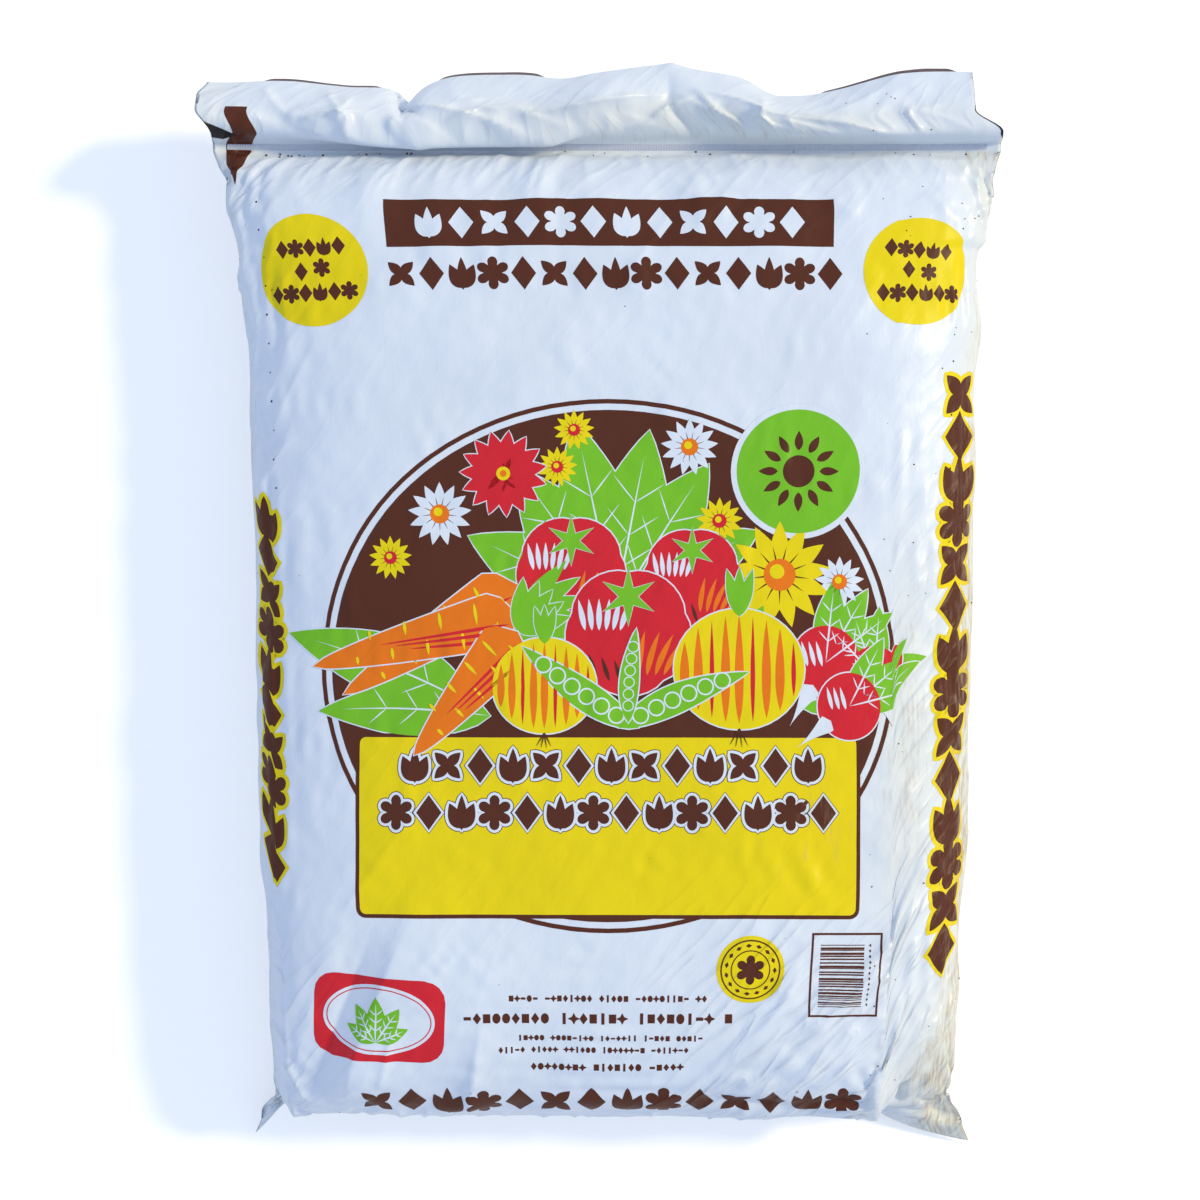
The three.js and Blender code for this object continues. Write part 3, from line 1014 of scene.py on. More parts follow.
# %% Oval, panel and green disc
OVAL = (-4, 359.7)
lay("brown", placed(oval(172.5, 158.8, 96), *OVAL), 0, placed(oval(169.8, 156.1, 96), *OVAL))
lay("brown", placed(oval(166, 152.3, 96), *OVAL))
PANEL = (-4.2, 264.5)
lay("brown", placed(block(301, 110, 5.5), *PANEL), 1)
lay("yellow", placed(block(296.4, 105.4, 3.6), *PANEL), 2)
PANEL_PAINT = lined(3, ("brown", 2.2), ("white", 1.7), ("brown", 0))
ornament_row((-119, 300.5), (115, 300.5), 13, 21, PANEL_PAINT, (0, 2, 1))
ornament_row((-130, 272.5), (124, 272.5), 14, 21, PANEL_PAINT, (3, 1, 0))
GREEN_DISC = (108.7, 475.6)
lay("white", placed(oval(40.2, points=64), *GREEN_DISC), 2)
lay("green", placed(oval(36.8, points=64), *GREEN_DISC), 3)
lay("brown", placed(oval(9.5), *GREEN_DISC), 4)
for turn in range(0, 360, 30):
    ray = placed(leaf(11.5, 5), *GREEN_DISC, turn)
    lay("brown", ray + np.array([-math.sin(math.radians(turn)), math.cos(math.radians(turn))]) * 12.5, 4)

print(len(shapes_laid), "shapes with the oval, the panel and the green disc")


# %% Garden picture
KEYLINE = 0.8  # mm of white round a motif
THIN_KEYLINE = 0.5


def rimmed(outline, ink, level, keyline=KEYLINE):
    """Prints an outline in one ink with a white keyline round it."""
    keyed(outline, [("white", keyline), (ink, 0)], level)


def motif_point(aside, ahead, x, y, turn):
    """Where a point of a motif lies once the motif is turned and moved to x and y."""
    return placed(np.array([[aside, ahead]]), x, y, turn)[0]


def veined_leaf(x, y, length, wide, turn, bend=0, level=2):
    """A leaf with a white midrib and side veins."""
    rimmed(placed(leaf(length, wide, bend, 16), x, y, turn), "green", level, 0.7)
    lay("white", placed(leaf(length * 0.86, 1.1, bend * 0.74), x, y, turn), level + 2)
    for share in (0.25, 0.42, 0.6):
        for side in (1, -1):
            base = motif_point(bend * share**2, length * share, x, y, turn)
            lay("white", placed(leaf(wide * 0.46, 0.8), *base, turn - side * 48), level + 2)


def tomato(x, y, size, level=3):
    """A ribbed fruit: white shine at the upper left, glow at the lower right, shade at the lower left."""
    rimmed(placed(blossom(5, size, size * 0.93), x, y, 18), "red", level)
    for k in range(6):
        shine = leaf(size * 0.5, size * 0.09)
        lay("white", placed(shine, x + size * (0.11 * k - 0.68), y + size * 0.02, 12 - 6 * k), level + 2)
    for k in range(5):
        glow = leaf(size * 0.7, size * 0.1, size * 0.1)
        lay("orange", placed(glow, x + size * (0.16 + 0.13 * k), y - size * 0.68, -8 * k), level + 2)
    for k in range(4):
        shade = leaf(size * 0.4, size * 0.07)
        lay("brown", placed(shade, x - size * (0.5 - 0.2 * k), y - size * (0.72 + 0.05 * k), 18), level + 2)
    stalk = placed(star(6, size * 0.46, size * 0.15), x, y + size * 0.55)
    rimmed(stalk, "green", level + 2, THIN_KEYLINE)


def carrot(x, y, length, wide, turn, level=3):
    """A root with short strokes across it, long shades down it and a tuft of narrow leaves."""
    for k in range(5):
        tuft = placed(leaf(length * 0.34, wide * 0.3), x, y, turn - 34 + 17 * k)
        rimmed(tuft, "green", level - 1, THIN_KEYLINE)
    rimmed(placed(root(length, wide, 0.62, 18), x, y, turn), "orange", level)
    for k in range(9):
        aside = wide * (-0.36 if k % 2 else 0.02)
        place = motif_point(aside, -length * (0.1 + 0.085 * k), x, y, turn)
        lay("yellow", placed(leaf(wide * 0.4 * (1 - k * 0.08), 2), *place, turn - 96), level + 2)
    for k in range(3):
        place = motif_point(wide * (0.12 + 0.1 * k), -6.0 - 7 * k, x, y, turn)
        lay("red", placed(root(length * (0.62 - 0.12 * k), 2.4), *place, turn - 5 - 2 * k), level + 2)


def onion(x, y, size, level=3):
    """A bulb with upright stripes, three shoots above and four rootlets below."""
    rimmed(placed(oval(size, size * 0.92), x, y), "yellow", level)
    for k in range(-4, 5):
        share = k / 4.6
        high = size * 0.92 * math.sqrt(1 - share * share)
        ink, wide = ("red", 0.07) if k % 3 == 1 else ("orange", 0.14)
        stripe = leaf(high * 1.8, size * wide)
        lay(ink, placed(stripe, x + share * size * 0.96, y - high * 0.9), level + 2)
    for turn in (-16, 0, 15):
        shoot = placed(leaf(size * 0.75, size * 0.2), x, y + size * 0.8, turn)
        rimmed(shoot, "green", level + 1, THIN_KEYLINE)
    for turn in (-30, -12, 8, 26):
        lay("brown", placed(root(size * 0.3, 0.9), x, y - size * 0.9, turn), level + 2)


def daisy(x, y, size, petal="white", heart="orange", level=3):
    """Thirteen petals round a heart, with a fine dark line between each two."""
    for k in range(13):
        lay(petal, placed(leaf(size, size * 0.36), x, y, k * 360 / 13), level)
    for k in range(13):
        lay("brown", placed(leaf(size * 0.55, size * 0.03), x, y, (k + 0.5) * 360 / 13), level + 1)
    lay(heart, placed(oval(size * 0.3, points=20), x, y), level + 2)
    lay("yellow", placed(oval(size * 0.14, points=12), x - size * 0.05, y + size * 0.06), level + 3)


def radish(x, y, size, turn, level=3):
    """A round root with a white tail, three leaves and three strokes of shine."""
    for k in (-24, 0, 24):
        veined_leaf(x, y, size * 2.3, size * 0.85, turn + k, level=level - 1)
    rimmed(placed(oval(size * 0.95, size), x, y), "red", level)
    tail = motif_point(0, -size * 0.7, x, y, turn)
    lay("white", placed(root(size * 1.3, size * 0.7, 1.6), *tail, turn), level + 2)
    for k in range(3):
        shine = leaf(size * 0.7, size * 0.12)
        lay("white", placed(shine, x - size * (0.5 - 0.2 * k), y - size * 0.1, 14), level + 2)


def pod(x, y, length, turn, level=3):
    """A curved pod with six peas in it."""
    rimmed(placed(leaf(length, length * 0.21, length * 0.12, 18), x, y, turn), "green", level)
    for k in range(6):
        share = 0.18 + 0.125 * k
        place = motif_point(length * 0.12 * share**2, length * share, x, y, turn)
        lay("white", placed(oval(length * 0.062, points=16), *place), level + 2)
        lay("green", placed(oval(length * 0.05, points=16), *place), level + 3)


def zinnia(x, y, size, level=3):
    """A double flower: three rings of petals, each with white edges."""
    for share, count in ((1, 15), (0.72, 12), (0.44, 9)):
        for k in range(count):
            petal = placed(leaf(size * share, size * share * 0.42), x, y, k * 360 / count + share * 40)
            keyed(petal, [("white", THIN_KEYLINE), ("red", -0.1)], level)
    lay("yellow", placed(oval(size * 0.16, points=14), x, y), level + 2)
    lay("orange", placed(oval(size * 0.08, points=10), x, y), level + 3)


LEAF_FAN = [  # turn, length and width
    (86, 92, 40),
    (-82, 96, 40),
    (58, 98, 44),
    (-56, 98, 44),
    (32, 104, 46),
    (-30, 104, 46),
    (11, 116, 46),
    (-10, 110, 46),
]
for turn, length, wide in LEAF_FAN:
    veined_leaf(0, 392, length, wide, turn, -turn * 0.14, 1)
veined_leaf(-84, 336, 122, 38, 62, -16, 1)
veined_leaf(-74, 330, 104, 32, 82, -12, 1)
veined_leaf(110, 336, 78, 32, -66, 20, 1)
zinnia(-66, 474, 26)
daisy(-104, 450, 19)
daisy(-24, 500, 12, "yellow", "red")
daisy(-134, 424, 13, "yellow", "red")
daisy(-34, 478, 12, "yellow", "red")
daisy(44, 490, 17)
daisy(134, 410, 15)
daisy(98, 414, 32, "yellow", "orange")
daisy(62, 446, 14, "yellow", "red")
for x, y, length, turn, level in ((-58, 408, 124, -58, 3), (-58, 390, 128, -76, 5), (-58, 380, 96, -40, 7)):
    carrot(x, y, length, 36, turn, level)
tomato(-26, 416, 33)
tomato(46, 412, 30)
tomato(8, 380, 38, 5)
onion(74, 358, 39, 8)
onion(-42, 348, 31, 8)
pod(14, 323, 84, 62, 10)
pod(2, 323, 84, -60, 10)
pod(8, 326, 56, 2, 12)
radish(126, 362, 22, -30)
radish(156, 354, 18, 20)
radish(140, 336, 20, -52, 5)
print(len(shapes_laid), "shapes with the garden picture")

# %% Badge, small disc, stripes and small print
BADGE = (-146, 147)
lay("red", placed(block(84, 54, 13), *BADGE, -4))
lay("white", placed(oval(36, 22.5, 60), *BADGE, -4), 1)
lay("red", placed(oval(34, 20.5, 60), *BADGE, -4), 2, placed(oval(33.3, 19.8, 60), *BADGE, -4))
for turn, length in ((64, 22), (-64, 22), (32, 27), (-32, 27), (0, 29)):
    veined_leaf(BADGE[0] - 1, BADGE[1] - 14, length, length * 0.44, turn - 4, level=2)
SMALL_DISC = (82, 179)
lay("yellow", placed(oval(20.6, points=48), *SMALL_DISC))
lay("brown", placed(oval(18.2, points=48), *SMALL_DISC), 1, placed(oval(17.3, points=48), *SMALL_DISC))
lay("brown", placed(oval(12, points=48), *SMALL_DISC), 1, placed(oval(11.3, points=48), *SMALL_DISC))
small_flower(*SMALL_DISC, 18, plain("brown", 1))
for turn in range(0, 360, 24):
    angle = math.radians(turn)
    spot = np.array(SMALL_DISC) + 14.7 * np.array([math.cos(angle), math.sin(angle)])
    lay("brown", placed(star(2, 1.9, 1.2), *spot, turn), 1)
STRIPES = (140, 175.6)
lay("brown", placed(block(43.5, 51.5), *STRIPES), 0, placed(block(40.9, 48.9), *STRIPES))
place = STRIPES[1] - 19
while place < STRIPES[1] + 19:
    thick = random.choice([0.5, 0.9, 1.4])
    lay("brown", placed(block(27, thick), STRIPES[0] - 2.5, place), 0)
    place += thick + random.choice([0.6, 0.9, 1.3])
for k in range(12):
    lay("brown", placed(star(2, 1, 0.7), STRIPES[0] + 14.5, STRIPES[1] - 18 + 3.3 * k), 0)


def small_print(left, right, y, size):
    """A line of small marks in groups: posts, dots, diamonds, crosses and blocks."""
    marks = [block(size * 0.26, size), oval(size * 0.34, size * 0.46, 12), star(2, size * 0.5, size * 0.34),
             star(4, size * 0.52, size * 0.24), block(size * 0.6, size * 0.3), block(size * 0.6, size * 0.8)]
    x, group = left, 0
    while x < right:
        group = group - 1 if group else random.integers(5, 10)
        if group:
            lay("brown", placed(marks[random.integers(0, len(marks))], x, y))
        x += size * 0.8


PRINT_LINES = [  # left, right, height along the film, and size
    (-63, 55, 161, 4.6),
    (-90, 72, 148, 7.4),
    (-58, 58, 135, 4.2),
    (-70, 46, 127, 4.2),
    (-50, 44, 115, 5.4),
]
for line in PRINT_LINES:
    small_print(*line)
ornament_row((-150, 86), (144, 86), 14, 25, plain("brown", 0), (2, 1, 0, 3, 1))
print(len(shapes_laid), "shapes with the small print")

# %% Registration bar, vent holes and the black inner face where it shows
BAR = np.array([(-228, 714), (-214, 713), (-217, 702), (-218, 694), (-223, 686), (-224, 679),
                (-225, 672), (-229, 654), (-239, 672), (-239, 686), (-233, 694), (-231, 702)])
lay("brown", BAR)
for x, start in ((-207, 640), (206, 642)):
    for k in range(12):
        hole = oval(random.uniform(0.45, 0.8), points=8)
        lay("black", placed(hole, x + random.uniform(-1, 1), start - 17.4 * k))
lay("black", np.array([(-246.8, 701), (-238, 696), (-231, 692), (-240, 689), (-246.8, 690)]))
lay("black", np.array([(246.9, 712), (246.9, 688), (245.4, 691), (245.7, 702)]))

ink_pieces = {}
for name, bm in inks.items():
    ink_pieces[name] = new_object("ink_" + name, bm)
    print("ink", name, "has", len(ink_pieces[name].data.loop_triangles), "triangles")

# %% [markdown]
# At the mouth the two layers of film lie open, and the eye sees the black inner face of the back one as
# a thin dark line along the cut edge. A strip between the layers shows it: where they gape it reaches up to
# about three millimetres further than the film, and elsewhere it ends a millimetre inside.

# %% Inner face at the mouth
GAPES = [  # from and to across the mouth, and how much of the most shows
    (-0.88, -0.52, 1),
    (-0.43, -0.1, 1),
    (0.06, 0.2, 0.45),
    (0.24, 0.38, 0.4),
    (0.56, 0.98, 1),
]
GAPE_END = 0.05  # across the mouth, over which a gape opens or closes
STRIP_HIDDEN = 1  # mm inside the mouth where nothing gapes
STRIP_SWING = 4.4  # mm from there to where it shows most
STRIP_DEPTH = 6  # mm into the header
LAST_BIT = 2.0  # mm of film before the mouth that gives the strip its direction
STRIP_SHARE = 0.996  # of the film's width


def gape(across):
    """How far the inner face shows beyond the front layer, in mm."""
    shown = 0
    for start, stop, most in GAPES:
        opened = most * ease(across, start, start + GAPE_END)
        shown = shown + opened * (1 - ease(across, stop - GAPE_END, stop))
    return STRIP_SWING * shown - STRIP_HIDDEN


def header_lining():
    """A strip of the black inner face, just under the front layer and halfway to the back one."""
    bm = bmesh.new()
    bmesh.ops.create_grid(bm, x_segments=250, y_segments=4, size=1)
    flat = np.array([vertex.co[:2] for vertex in bm.verts])
    across = flat[:, 0] * STRIP_SHARE
    mouth = FILM_LENGTH + SEAL_BAND + HEADER_FILM
    v = mouth + between(-STRIP_DEPTH, gape(across), (flat[:, 1] + 1) / 2)
    inside = on_film(across * FILM_HALF_WIDTH, np.minimum(v, mouth), -DOUBLE_FILM * 0.5)
    before = on_film(across * FILM_HALF_WIDTH, np.full(len(v), mouth - LAST_BIT), -DOUBLE_FILM * 0.5)
    beyond = inside + (inside - before) / LAST_BIT * np.maximum(v - mouth, 0)[:, None]
    for vertex, place in zip(bm.verts, beyond):
        vertex.co = place * MM
    return new_object("inner_face", bm)


# %% [markdown]
# The jaws that weld the top seal press fine ribs into the film, about as wide as the teeth of a zip. They
# catch the light under the header, so they are real ridges: a narrow strip with a ridge every 1.6 mm.

# %% Ribs of the top seal
RIB_PITCH = 1.6
RIB_HEIGHT = 0.35
RIB_STEPS = 4  # squares of the grid in a rib
RIBBED_SHARE = 0.965  # of the film's width


def seal_ribs():
    """A strip over the seal band whose vertices rise and fall."""
    half = FILM_HALF_WIDTH * RIBBED_SHARE
    columns = round(2 * half / RIB_PITCH) * RIB_STEPS
    bm = bmesh.new()
    bmesh.ops.create_grid(bm, x_segments=columns, y_segments=3, size=1)
    flat = np.array([vertex.co[:2] for vertex in bm.verts])
    u = flat[:, 0] * half
    v = FILM_LENGTH + SEAL_BAND * (0.62 + 0.36 * flat[:, 1])
    lift = 0.1 + RIB_HEIGHT * np.abs(np.sin(math.pi * u / RIB_PITCH)) * (np.abs(flat[:, 1]) < 0.9)
    for vertex, place in zip(bm.verts, on_film(u, v, lift[:, None])):
        vertex.co = place * MM
    return new_object("seal_ribs", bm)


# %% [markdown]
# Garden soil always clings to such a bag. Crumbs lie in the hollow along the seal, and specks sit all over
# the front, most of them on the right. A crumb is the smallest icosphere with its corners pushed about.

# %% Crumbs of soil
CRUMB_ZONES = [  # how many, left, right, from and to along the film, smallest and largest, in mm
    (16, -215, -120, FILM_LENGTH - 4, FILM_LENGTH - 1, 0.4, 1.0),
    (12, -60, 230, FILM_LENGTH - 3, FILM_LENGTH + 1, 0.3, 0.7),
    (7, 150, 232, 690, 728, 0.3, 0.5),
    (46, 150, 238, 60, 660, 0.25, 0.55),
    (30, -238, 150, 60, 660, 0.2, 0.42),
]


def crumbs():
    """Loose crumbs and specks in one piece."""
    spots = []
    for count, left, right, low, high, smallest, largest in CRUMB_ZONES:
        for _ in range(count):
            u = random.uniform(left, right)
            v = random.uniform(low, high)
            spots.append((u, v, random.uniform(smallest, largest)))
    bm = bmesh.new()
    for u, v, size in spots:
        corners = bmesh.ops.create_icosphere(bm, subdivisions=1, radius=size * MM)["verts"]
        for vertex in corners:
            vertex.co *= random.uniform(0.7, 1.25)
        middle = on_film(np.array([u]), np.array([v]), size * 0.4)[0] * MM
        bmesh.ops.translate(bm, verts=corners, vec=Vector(middle))
    print(len(spots), "crumbs")
    return new_object("soil_crumbs", bm)


lining = header_lining()
ribs = seal_ribs()
soil_crumbs = crumbs()
print("inner face and ribs have", len(lining.data.polygons), "and", len(ribs.data.polygons), "squares")

# %% [markdown]
# Polyethylene film is white with a cool tint and half glossy. It is never quite smooth: a fine crinkle runs
# over it, longer along the bag than across. Soil has left brown smears, most of them low on the right.
# Where they lie is kept in an attribute of each piece, so film and ink get the same dirt, and a noise pattern
# in film coordinates breaks them up into streaks. The same attribute also holds painted light: a warm cream
# tint down the right side is painted sunlight, and the smears on the lower half of the header are painted
# shade as well as dust.

# %% Where the bag is dusty or has painted light and shade, and where it is creased
def dust_and_painted_light(u, v):
    """How much dust a place has, from 0 to 1, with painted sunlight down the right side and painted shade on
    the header's lower half.
    """
    low_right = 0.45 * ease(u, 180, 228) * (1 - ease(v, 330, 620))
    streaks = 0.6 * bump(u, 176, 20) * bump(v, 300, 120)
    corner = 0.6 * bump(u, 205, 40) * bump(v, 70, 45)
    panel = 0.4 * bump(u, 120, 22) * bump(v, 262, 50)
    above_seal = 0.14 * ease(v, FILM_LENGTH, FILM_LENGTH + 6) * (1 - ease(v, 700, 722))
    seal = 0.16 * bump(v, FILM_LENGTH - 2, 6) + above_seal
    left = 0.2 * ease(-u, 214, 240)
    # A warm cream tint down the whole right side: painted sunlight on the side that faces the sun, with some
    # dust.
    right = 0.5 * ease(u, 196, 236) * (v < FILM_LENGTH)
    # Brown smears over the lower half of the header: painted shade where the film faces away from the sun,
    # with some dust.
    flap_shade_and_dust = 0.34 * bump(u, 60, 130) * ease(v, FILM_LENGTH + 3, FILM_LENGTH + 10) * (1 - ease(v, 706, 724))
    return np.clip(0.04 + low_right + streaks + corner + panel + seal + left + right + flap_shade_and_dust, 0, 0.85)


def creased(u, v):
    """How much fine crinkle a place has, from 0 to 1."""
    low_right = ease(u, 0, 90) * (1 - ease(v, 150, 250)) + 0.8 * ease(u, 150, 220) * (1 - ease(v, 330, 560))
    header = 0.22 * ease(v, FILM_LENGTH + 8, FILM_LENGTH + 18)
    seal = 0.12 * ease(v, FILM_LENGTH - 70, FILM_LENGTH - 10) * (v < FILM_LENGTH)
    left = 0.5 * ease(-u, 190, 235) + 0.4 * ease(-u, 110, 200) * (1 - ease(v, 120, 240))
    return np.clip(0.1 + low_right + header + seal + left, 0, 1)


def mark(obj, name, rule, behind):
    """Writes a number for each vertex of a piece: a rule's in front, fading to one value behind."""
    uv = read(obj.data.uv_layers["film"].data, "uv", 2) / MM
    values = np.zeros(len(obj.data.vertices))
    owner = read(obj.data.loops, "vertex_index", 1, int)
    in_front = uv[:, 0] < BACK_OFFSET / 2
    u = np.where(in_front, uv[:, 0], BACK_OFFSET - uv[:, 0])
    share = np.where(in_front, 1, ease(np.abs(u), 170, FILM_HALF_WIDTH))
    values[owner] = between(behind, rule(u, uv[:, 1]), share)
    obj.data.attributes.new(name, "FLOAT", "POINT").data.foreach_set("value", values)


SOILED_BEHIND = 0.12
CREASED_BEHIND = 0.4
for piece in (film, *ink_pieces.values()):
    mark(piece, "dust_and_painted_light", dust_and_painted_light, SOILED_BEHIND)
    mark(piece, "creased", creased, CREASED_BEHIND)


# %% Film and ink
def new_material(name):
    """A material with its node tree and its shader."""
    material = bpy.data.materials.new(name)
    material.use_nodes = True
    return material, material.node_tree, material.node_tree.nodes["Principled BSDF"]


def add(tree, kind, inputs, **settings):
    """A shader node with its inputs set or linked."""
    made = tree.nodes.new("ShaderNode" + kind)
    for name, value in settings.items():
        setattr(made, name, value)
    for name, value in inputs.items():
        if isinstance(value, bpy.types.NodeSocket):
            tree.links.new(value, made.inputs[name])
        else:
            made.inputs[name].default_value = value
    return made


def mix_colors(tree, share, first, second):
    """One colour fading into another. Each is a socket or three numbers."""
    made = tree.nodes.new("ShaderNodeMix")
    made.data_type = "RGBA"
    tree.links.new(share, made.inputs[0])
    for socket, color in ((made.inputs[6], first), (made.inputs[7], second)):
        if isinstance(color, bpy.types.NodeSocket):
            tree.links.new(color, socket)
        else:
            socket.default_value = (*color, 1)
    return made.outputs[2]


def film_relief(tree, shader):
    """The fine crinkle of film, in flat film coordinates: soft all over, and sharp where it is creased."""
    flat = add(tree, "UVMap", {}, uv_map="film").outputs["UV"]
    long = add(tree, "Mapping", {"Vector": flat, "Scale": (190, 75, 1), "Rotation": (0, 0, 0.35)})
    crinkle = add(tree, "TexNoise", {
        "Vector": long.outputs[0], "Scale": 1.0, "Detail": 4.0, "Roughness": 0.55, "Distortion": 0.6})
    soft = add(tree, "Bump", {"Height": crinkle.outputs["Fac"], "Strength": 0.35, "Distance": 0.0006})
    where = add(tree, "Attribute", {}, attribute_name="creased").outputs["Fac"]
    lines = add(tree, "Mapping", {"Vector": flat, "Scale": (0.05, 0.011, 1), "Rotation": (0, 0, 0.82)},
                vector_type="TEXTURE")
    ridges = add(tree, "TexNoise", {
        "Vector": lines.outputs[0], "Scale": 1.0, "Detail": 1.0, "Offset": 1.0, "Distortion": 0.35,
    }, noise_type="RIDGED_MULTIFRACTAL")
    height = add(tree, "Math", {0: ridges.outputs["Fac"], 1: where}, operation="MULTIPLY")
    sharp = add(tree, "Bump", {
        "Height": height.outputs[0], "Normal": soft.outputs[0], "Strength": 0.7, "Distance": 0.002})
    tree.links.new(sharp.outputs[0], shader.inputs["Normal"])
    return flat


def brown_smears_and_painted_shade(tree, flat):
    """How much brown covers the film: the marked places broken up into streaks. On the header's lower half
    the brown is painted shade as well as dirt.
    """
    where = add(tree, "Attribute", {}, attribute_name="dust_and_painted_light").outputs["Fac"]
    stretched = add(tree, "Mapping", {"Vector": flat, "Scale": (80, 42, 1), "Rotation": (0, 0, -0.5)})
    streak = add(tree, "TexNoise", {
        "Vector": stretched.outputs[0], "Scale": 1.0, "Detail": 9.0, "Roughness": 0.72})
    scratch_place = add(tree, "Mapping", {"Vector": flat, "Scale": (420, 60, 1), "Rotation": (0, 0, 0.75)})
    scratch = add(tree, "TexNoise", {"Vector": scratch_place.outputs[0], "Scale": 1.0, "Detail": 3.0})
    both = add(tree, "Math", {0: streak.outputs["Fac"], 1: scratch.outputs["Fac"]}, operation="MULTIPLY")
    lifted = add(tree, "Math", {0: where, 1: 0.22, 2: both.outputs[0]}, operation="MULTIPLY_ADD")
    amount = add(tree, "MapRange", {
        "Value": lifted.outputs[0], "From Min": 0.33, "From Max": 0.58, "To Max": 0.8,
    }, interpolation_type="SMOOTHSTEP")
    return add(tree, "Math", {0: amount.outputs[0], 1: where}, operation="MULTIPLY").outputs[0]


DUST_AND_SUN_TINT = (1.02, 0.94, 0.7)  # what dust does to a colour, and painted warm sunlight on the right side
DUST_AND_SUN_SHARE = 0.9
DIRT_AND_SHADE_COLOR = (0.40, 0.28, 0.18)
FILM_ROUGHNESS = 0.36
FILM_GLOSS = 0.4
INK_GLOSS = 0.12


def film_material(name, color, gloss):
    """Film, or film under an ink of this colour."""
    material, tree, shader = new_material(name)
    flat = film_relief(tree, shader)
    tint = add(tree, "TexNoise", {"Vector": flat, "Scale": 14.0, "Detail": 2.0})
    shade = add(tree, "MapRange", {
        "Value": tint.outputs["Fac"], "From Min": 0.3, "From Max": 0.7, "To Min": 0.0, "To Max": 1.0})
    even = mix_colors(tree, shade.outputs[0], [c * 0.95 for c in color], color)
    # The cream tint is dust and, down the right side, painted sunlight. The brown smears are dirt and, on the
    # header's lower half, painted shade.
    where = add(tree, "Attribute", {}, attribute_name="dust_and_painted_light").outputs["Fac"]
    warm = add(tree, "Math", {0: where, 1: DUST_AND_SUN_SHARE}, operation="MULTIPLY").outputs[0]
    even = mix_colors(tree, warm, even, [c * w for c, w in zip(color, DUST_AND_SUN_TINT)])
    smeared_and_shaded = mix_colors(tree, brown_smears_and_painted_shade(tree, flat), even, DIRT_AND_SHADE_COLOR)
    tree.links.new(smeared_and_shaded, shader.inputs["Base Color"])
    shader.inputs["Roughness"].default_value = FILM_ROUGHNESS
    shader.inputs["Specular IOR Level"].default_value = gloss
    return material


FILM_COLOR = (0.72, 0.775, 0.86)
INK_COLORS = {
    "brown": (0.092, 0.026, 0.014),
    "white": FILM_COLOR,
    "yellow": (0.84, 0.66, 0.008),
    "green": (0.19, 0.52, 0.025),
    "red": (0.66, 0.022, 0.034),
    "orange": (0.84, 0.19, 0.012),
    "black": (0.018, 0.015, 0.018),
}
film.data.materials.append(film_material("white_film", FILM_COLOR, FILM_GLOSS))
for name, piece in ink_pieces.items():
    gloss = FILM_GLOSS if name == "white" else INK_GLOSS
    piece.data.materials.append(film_material("printed_" + name, INK_COLORS[name], gloss))
# The ribs are a darker blue-grey than the rest of the film: painted shade for the crease under the header.
material, tree, shader = new_material("seal_film_painted_shade")
shader.inputs["Base Color"].default_value = (0.52, 0.55, 0.63, 1)
shader.inputs["Roughness"].default_value = 0.4
ribs.data.materials.append(material)


def grainy_material(name, dark, light, size, rough):
    """Soil or inner film: two colours in grains of this size in mm."""
    material, tree, shader = new_material(name)
    place = add(tree, "TexCoord", {}).outputs["Object"]
    grain = add(tree, "TexNoise", {"Vector": place, "Scale": 1 / (size * MM), "Detail": 5.0})
    tree.links.new(mix_colors(tree, grain.outputs["Fac"], dark, light), shader.inputs["Base Color"])
    bumpy = add(tree, "Bump", {"Height": grain.outputs["Fac"], "Strength": 0.5, "Distance": 0.0003})
    tree.links.new(bumpy.outputs[0], shader.inputs["Normal"])
    shader.inputs["Roughness"].default_value = rough
    return material


soil = grainy_material("soil", (0.02, 0.012, 0.008), (0.10, 0.06, 0.035), size=0.6, rough=0.95)
soil_crumbs.data.materials.append(soil)
inner_film = grainy_material("black_inner_film", (0.03, 0.022, 0.028), (0.16, 0.10, 0.12), size=5, rough=0.5)
lining.data.materials.append(inner_film)
print("materials:", ", ".join(material.name for material in bpy.data.materials))

# %% [markdown]
# The bag was photographed in the open: a warm sun from the right, about 36 degrees high and a little towards
# the top, and the cool sky everywhere else. A wide sun and a plain pale blue world give that, at a level
# where white film comes out about as bright as its written colour. The floor is white. It catches the bag's
# shadow, and a little glow that only the camera sees takes it to the photograph's white.

# %% Light and floor
SKY_COLOR = (0.51, 0.63, 0.86)
SUN_COLOR = (1.0, 0.86, 0.54)
SUN_STRENGTH = 2.15
SUN_WIDTH = 9  # degrees
SUNLIGHT = (-0.77, -0.25, -0.585)  # the way it travels
FLOOR_COLOR = (0.95, 0.92, 0.87)
FLOOR_HALF = 4  # metres
FLOOR_GLOW = 0.3

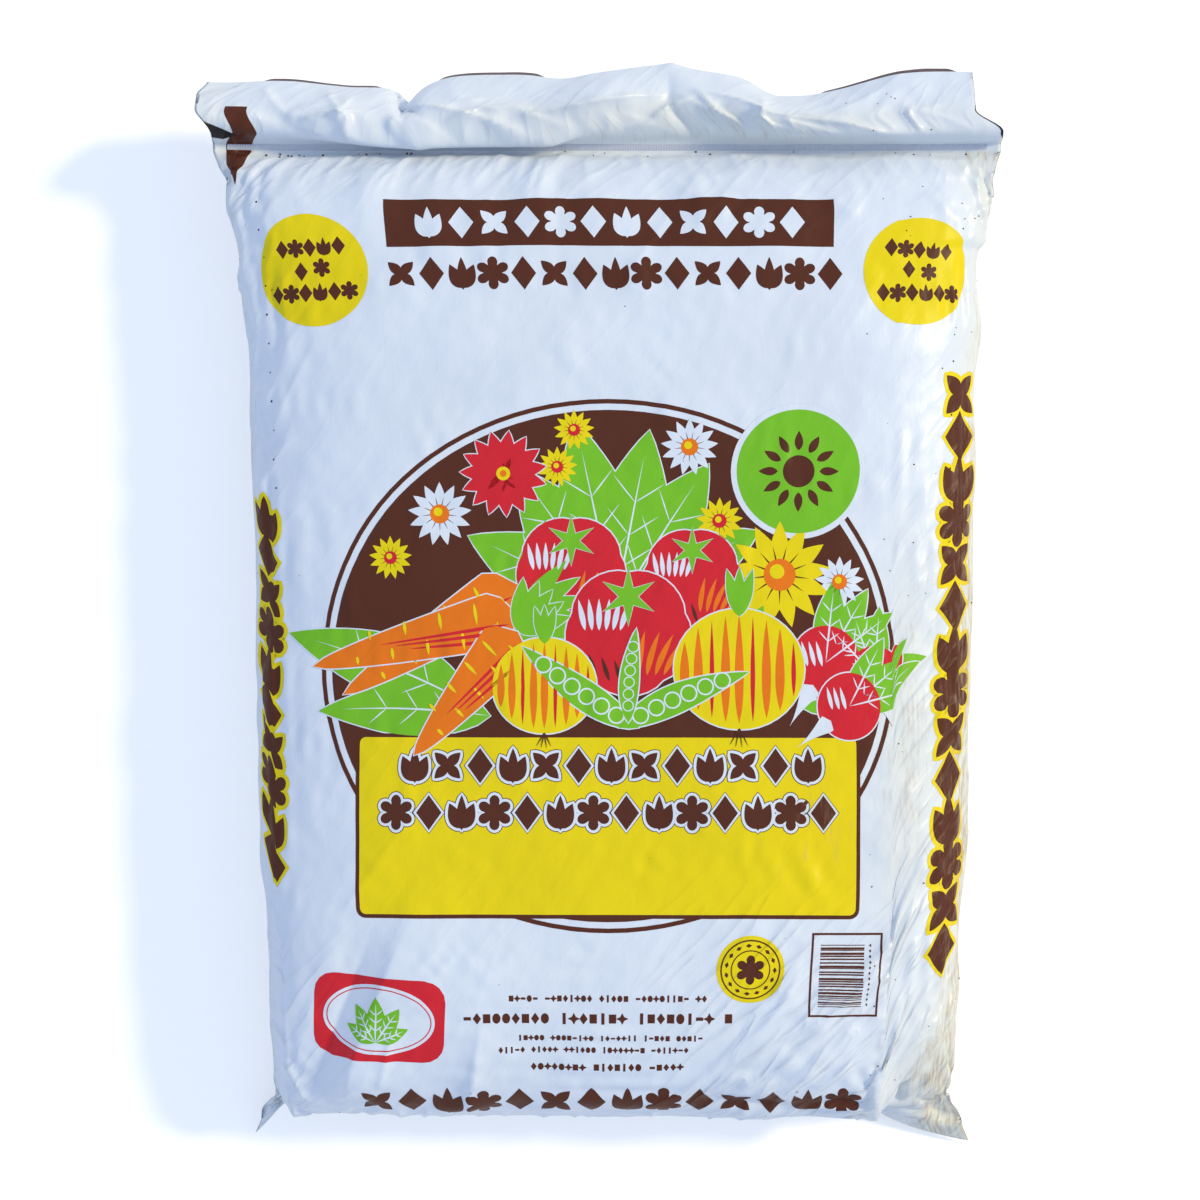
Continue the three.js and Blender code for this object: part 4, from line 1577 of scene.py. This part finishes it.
world = bpy.data.worlds.new("sky")
bpy.context.scene.world = world
world.use_nodes = True
tree = world.node_tree
sky = tree.nodes["Background"]
sky.inputs["Color"].default_value = (*SKY_COLOR, 1)
white = add(tree, "Background", {"Color": (1, 1, 1, 1)})
light_path = add(tree, "LightPath", {})
seen = light_path.outputs["Is Camera Ray"]
for ray in ("Is Glossy Ray", "Is Transmission Ray"):
    seen = add(tree, "Math", {0: seen, 1: light_path.outputs[ray]}, operation="MAXIMUM").outputs[0]
both = add(tree, "MixShader", {0: seen, 1: sky.outputs[0], 2: white.outputs[0]})
tree.links.new(both.outputs[0], tree.nodes["World Output"].inputs["Surface"])

sun = bpy.data.lights.new("sun", "SUN")
sun.energy = SUN_STRENGTH
sun.angle = math.radians(SUN_WIDTH)
sun.color = SUN_COLOR
lamp = bpy.data.objects.new("sun", sun)
bpy.context.collection.objects.link(lamp)
lamp.rotation_euler = Vector(SUNLIGHT).to_track_quat("-Z", "Y").to_euler()

bm = bmesh.new()
bmesh.ops.create_grid(bm, x_segments=1, y_segments=1, size=FLOOR_HALF)
floor = new_object("floor", bm)
material, tree, shader = new_material("white_floor")
shader.inputs["Base Color"].default_value = (*FLOOR_COLOR, 1)
shader.inputs["Roughness"].default_value = 0.9
light_path = add(tree, "LightPath", {})
shader.inputs["Emission Color"].default_value = (1, 1, 1, 1)
glow = add(tree, "Math", {0: light_path.outputs["Is Camera Ray"], 1: FLOOR_GLOW}, operation="MULTIPLY")
tree.links.new(glow.outputs[0], shader.inputs["Emission Strength"])
floor.data.materials.append(material)
bpy.context.scene.view_settings.view_transform = "Standard"
print("sun", SUN_STRENGTH, "and", SUN_WIDTH, "degrees wide, sky", SKY_COLOR)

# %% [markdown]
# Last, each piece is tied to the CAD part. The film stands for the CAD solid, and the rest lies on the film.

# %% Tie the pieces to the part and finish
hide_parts("soil_bag")
for piece in (film, lining, ribs, soil_crumbs, *ink_pieces.values()):
    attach(piece, "root")
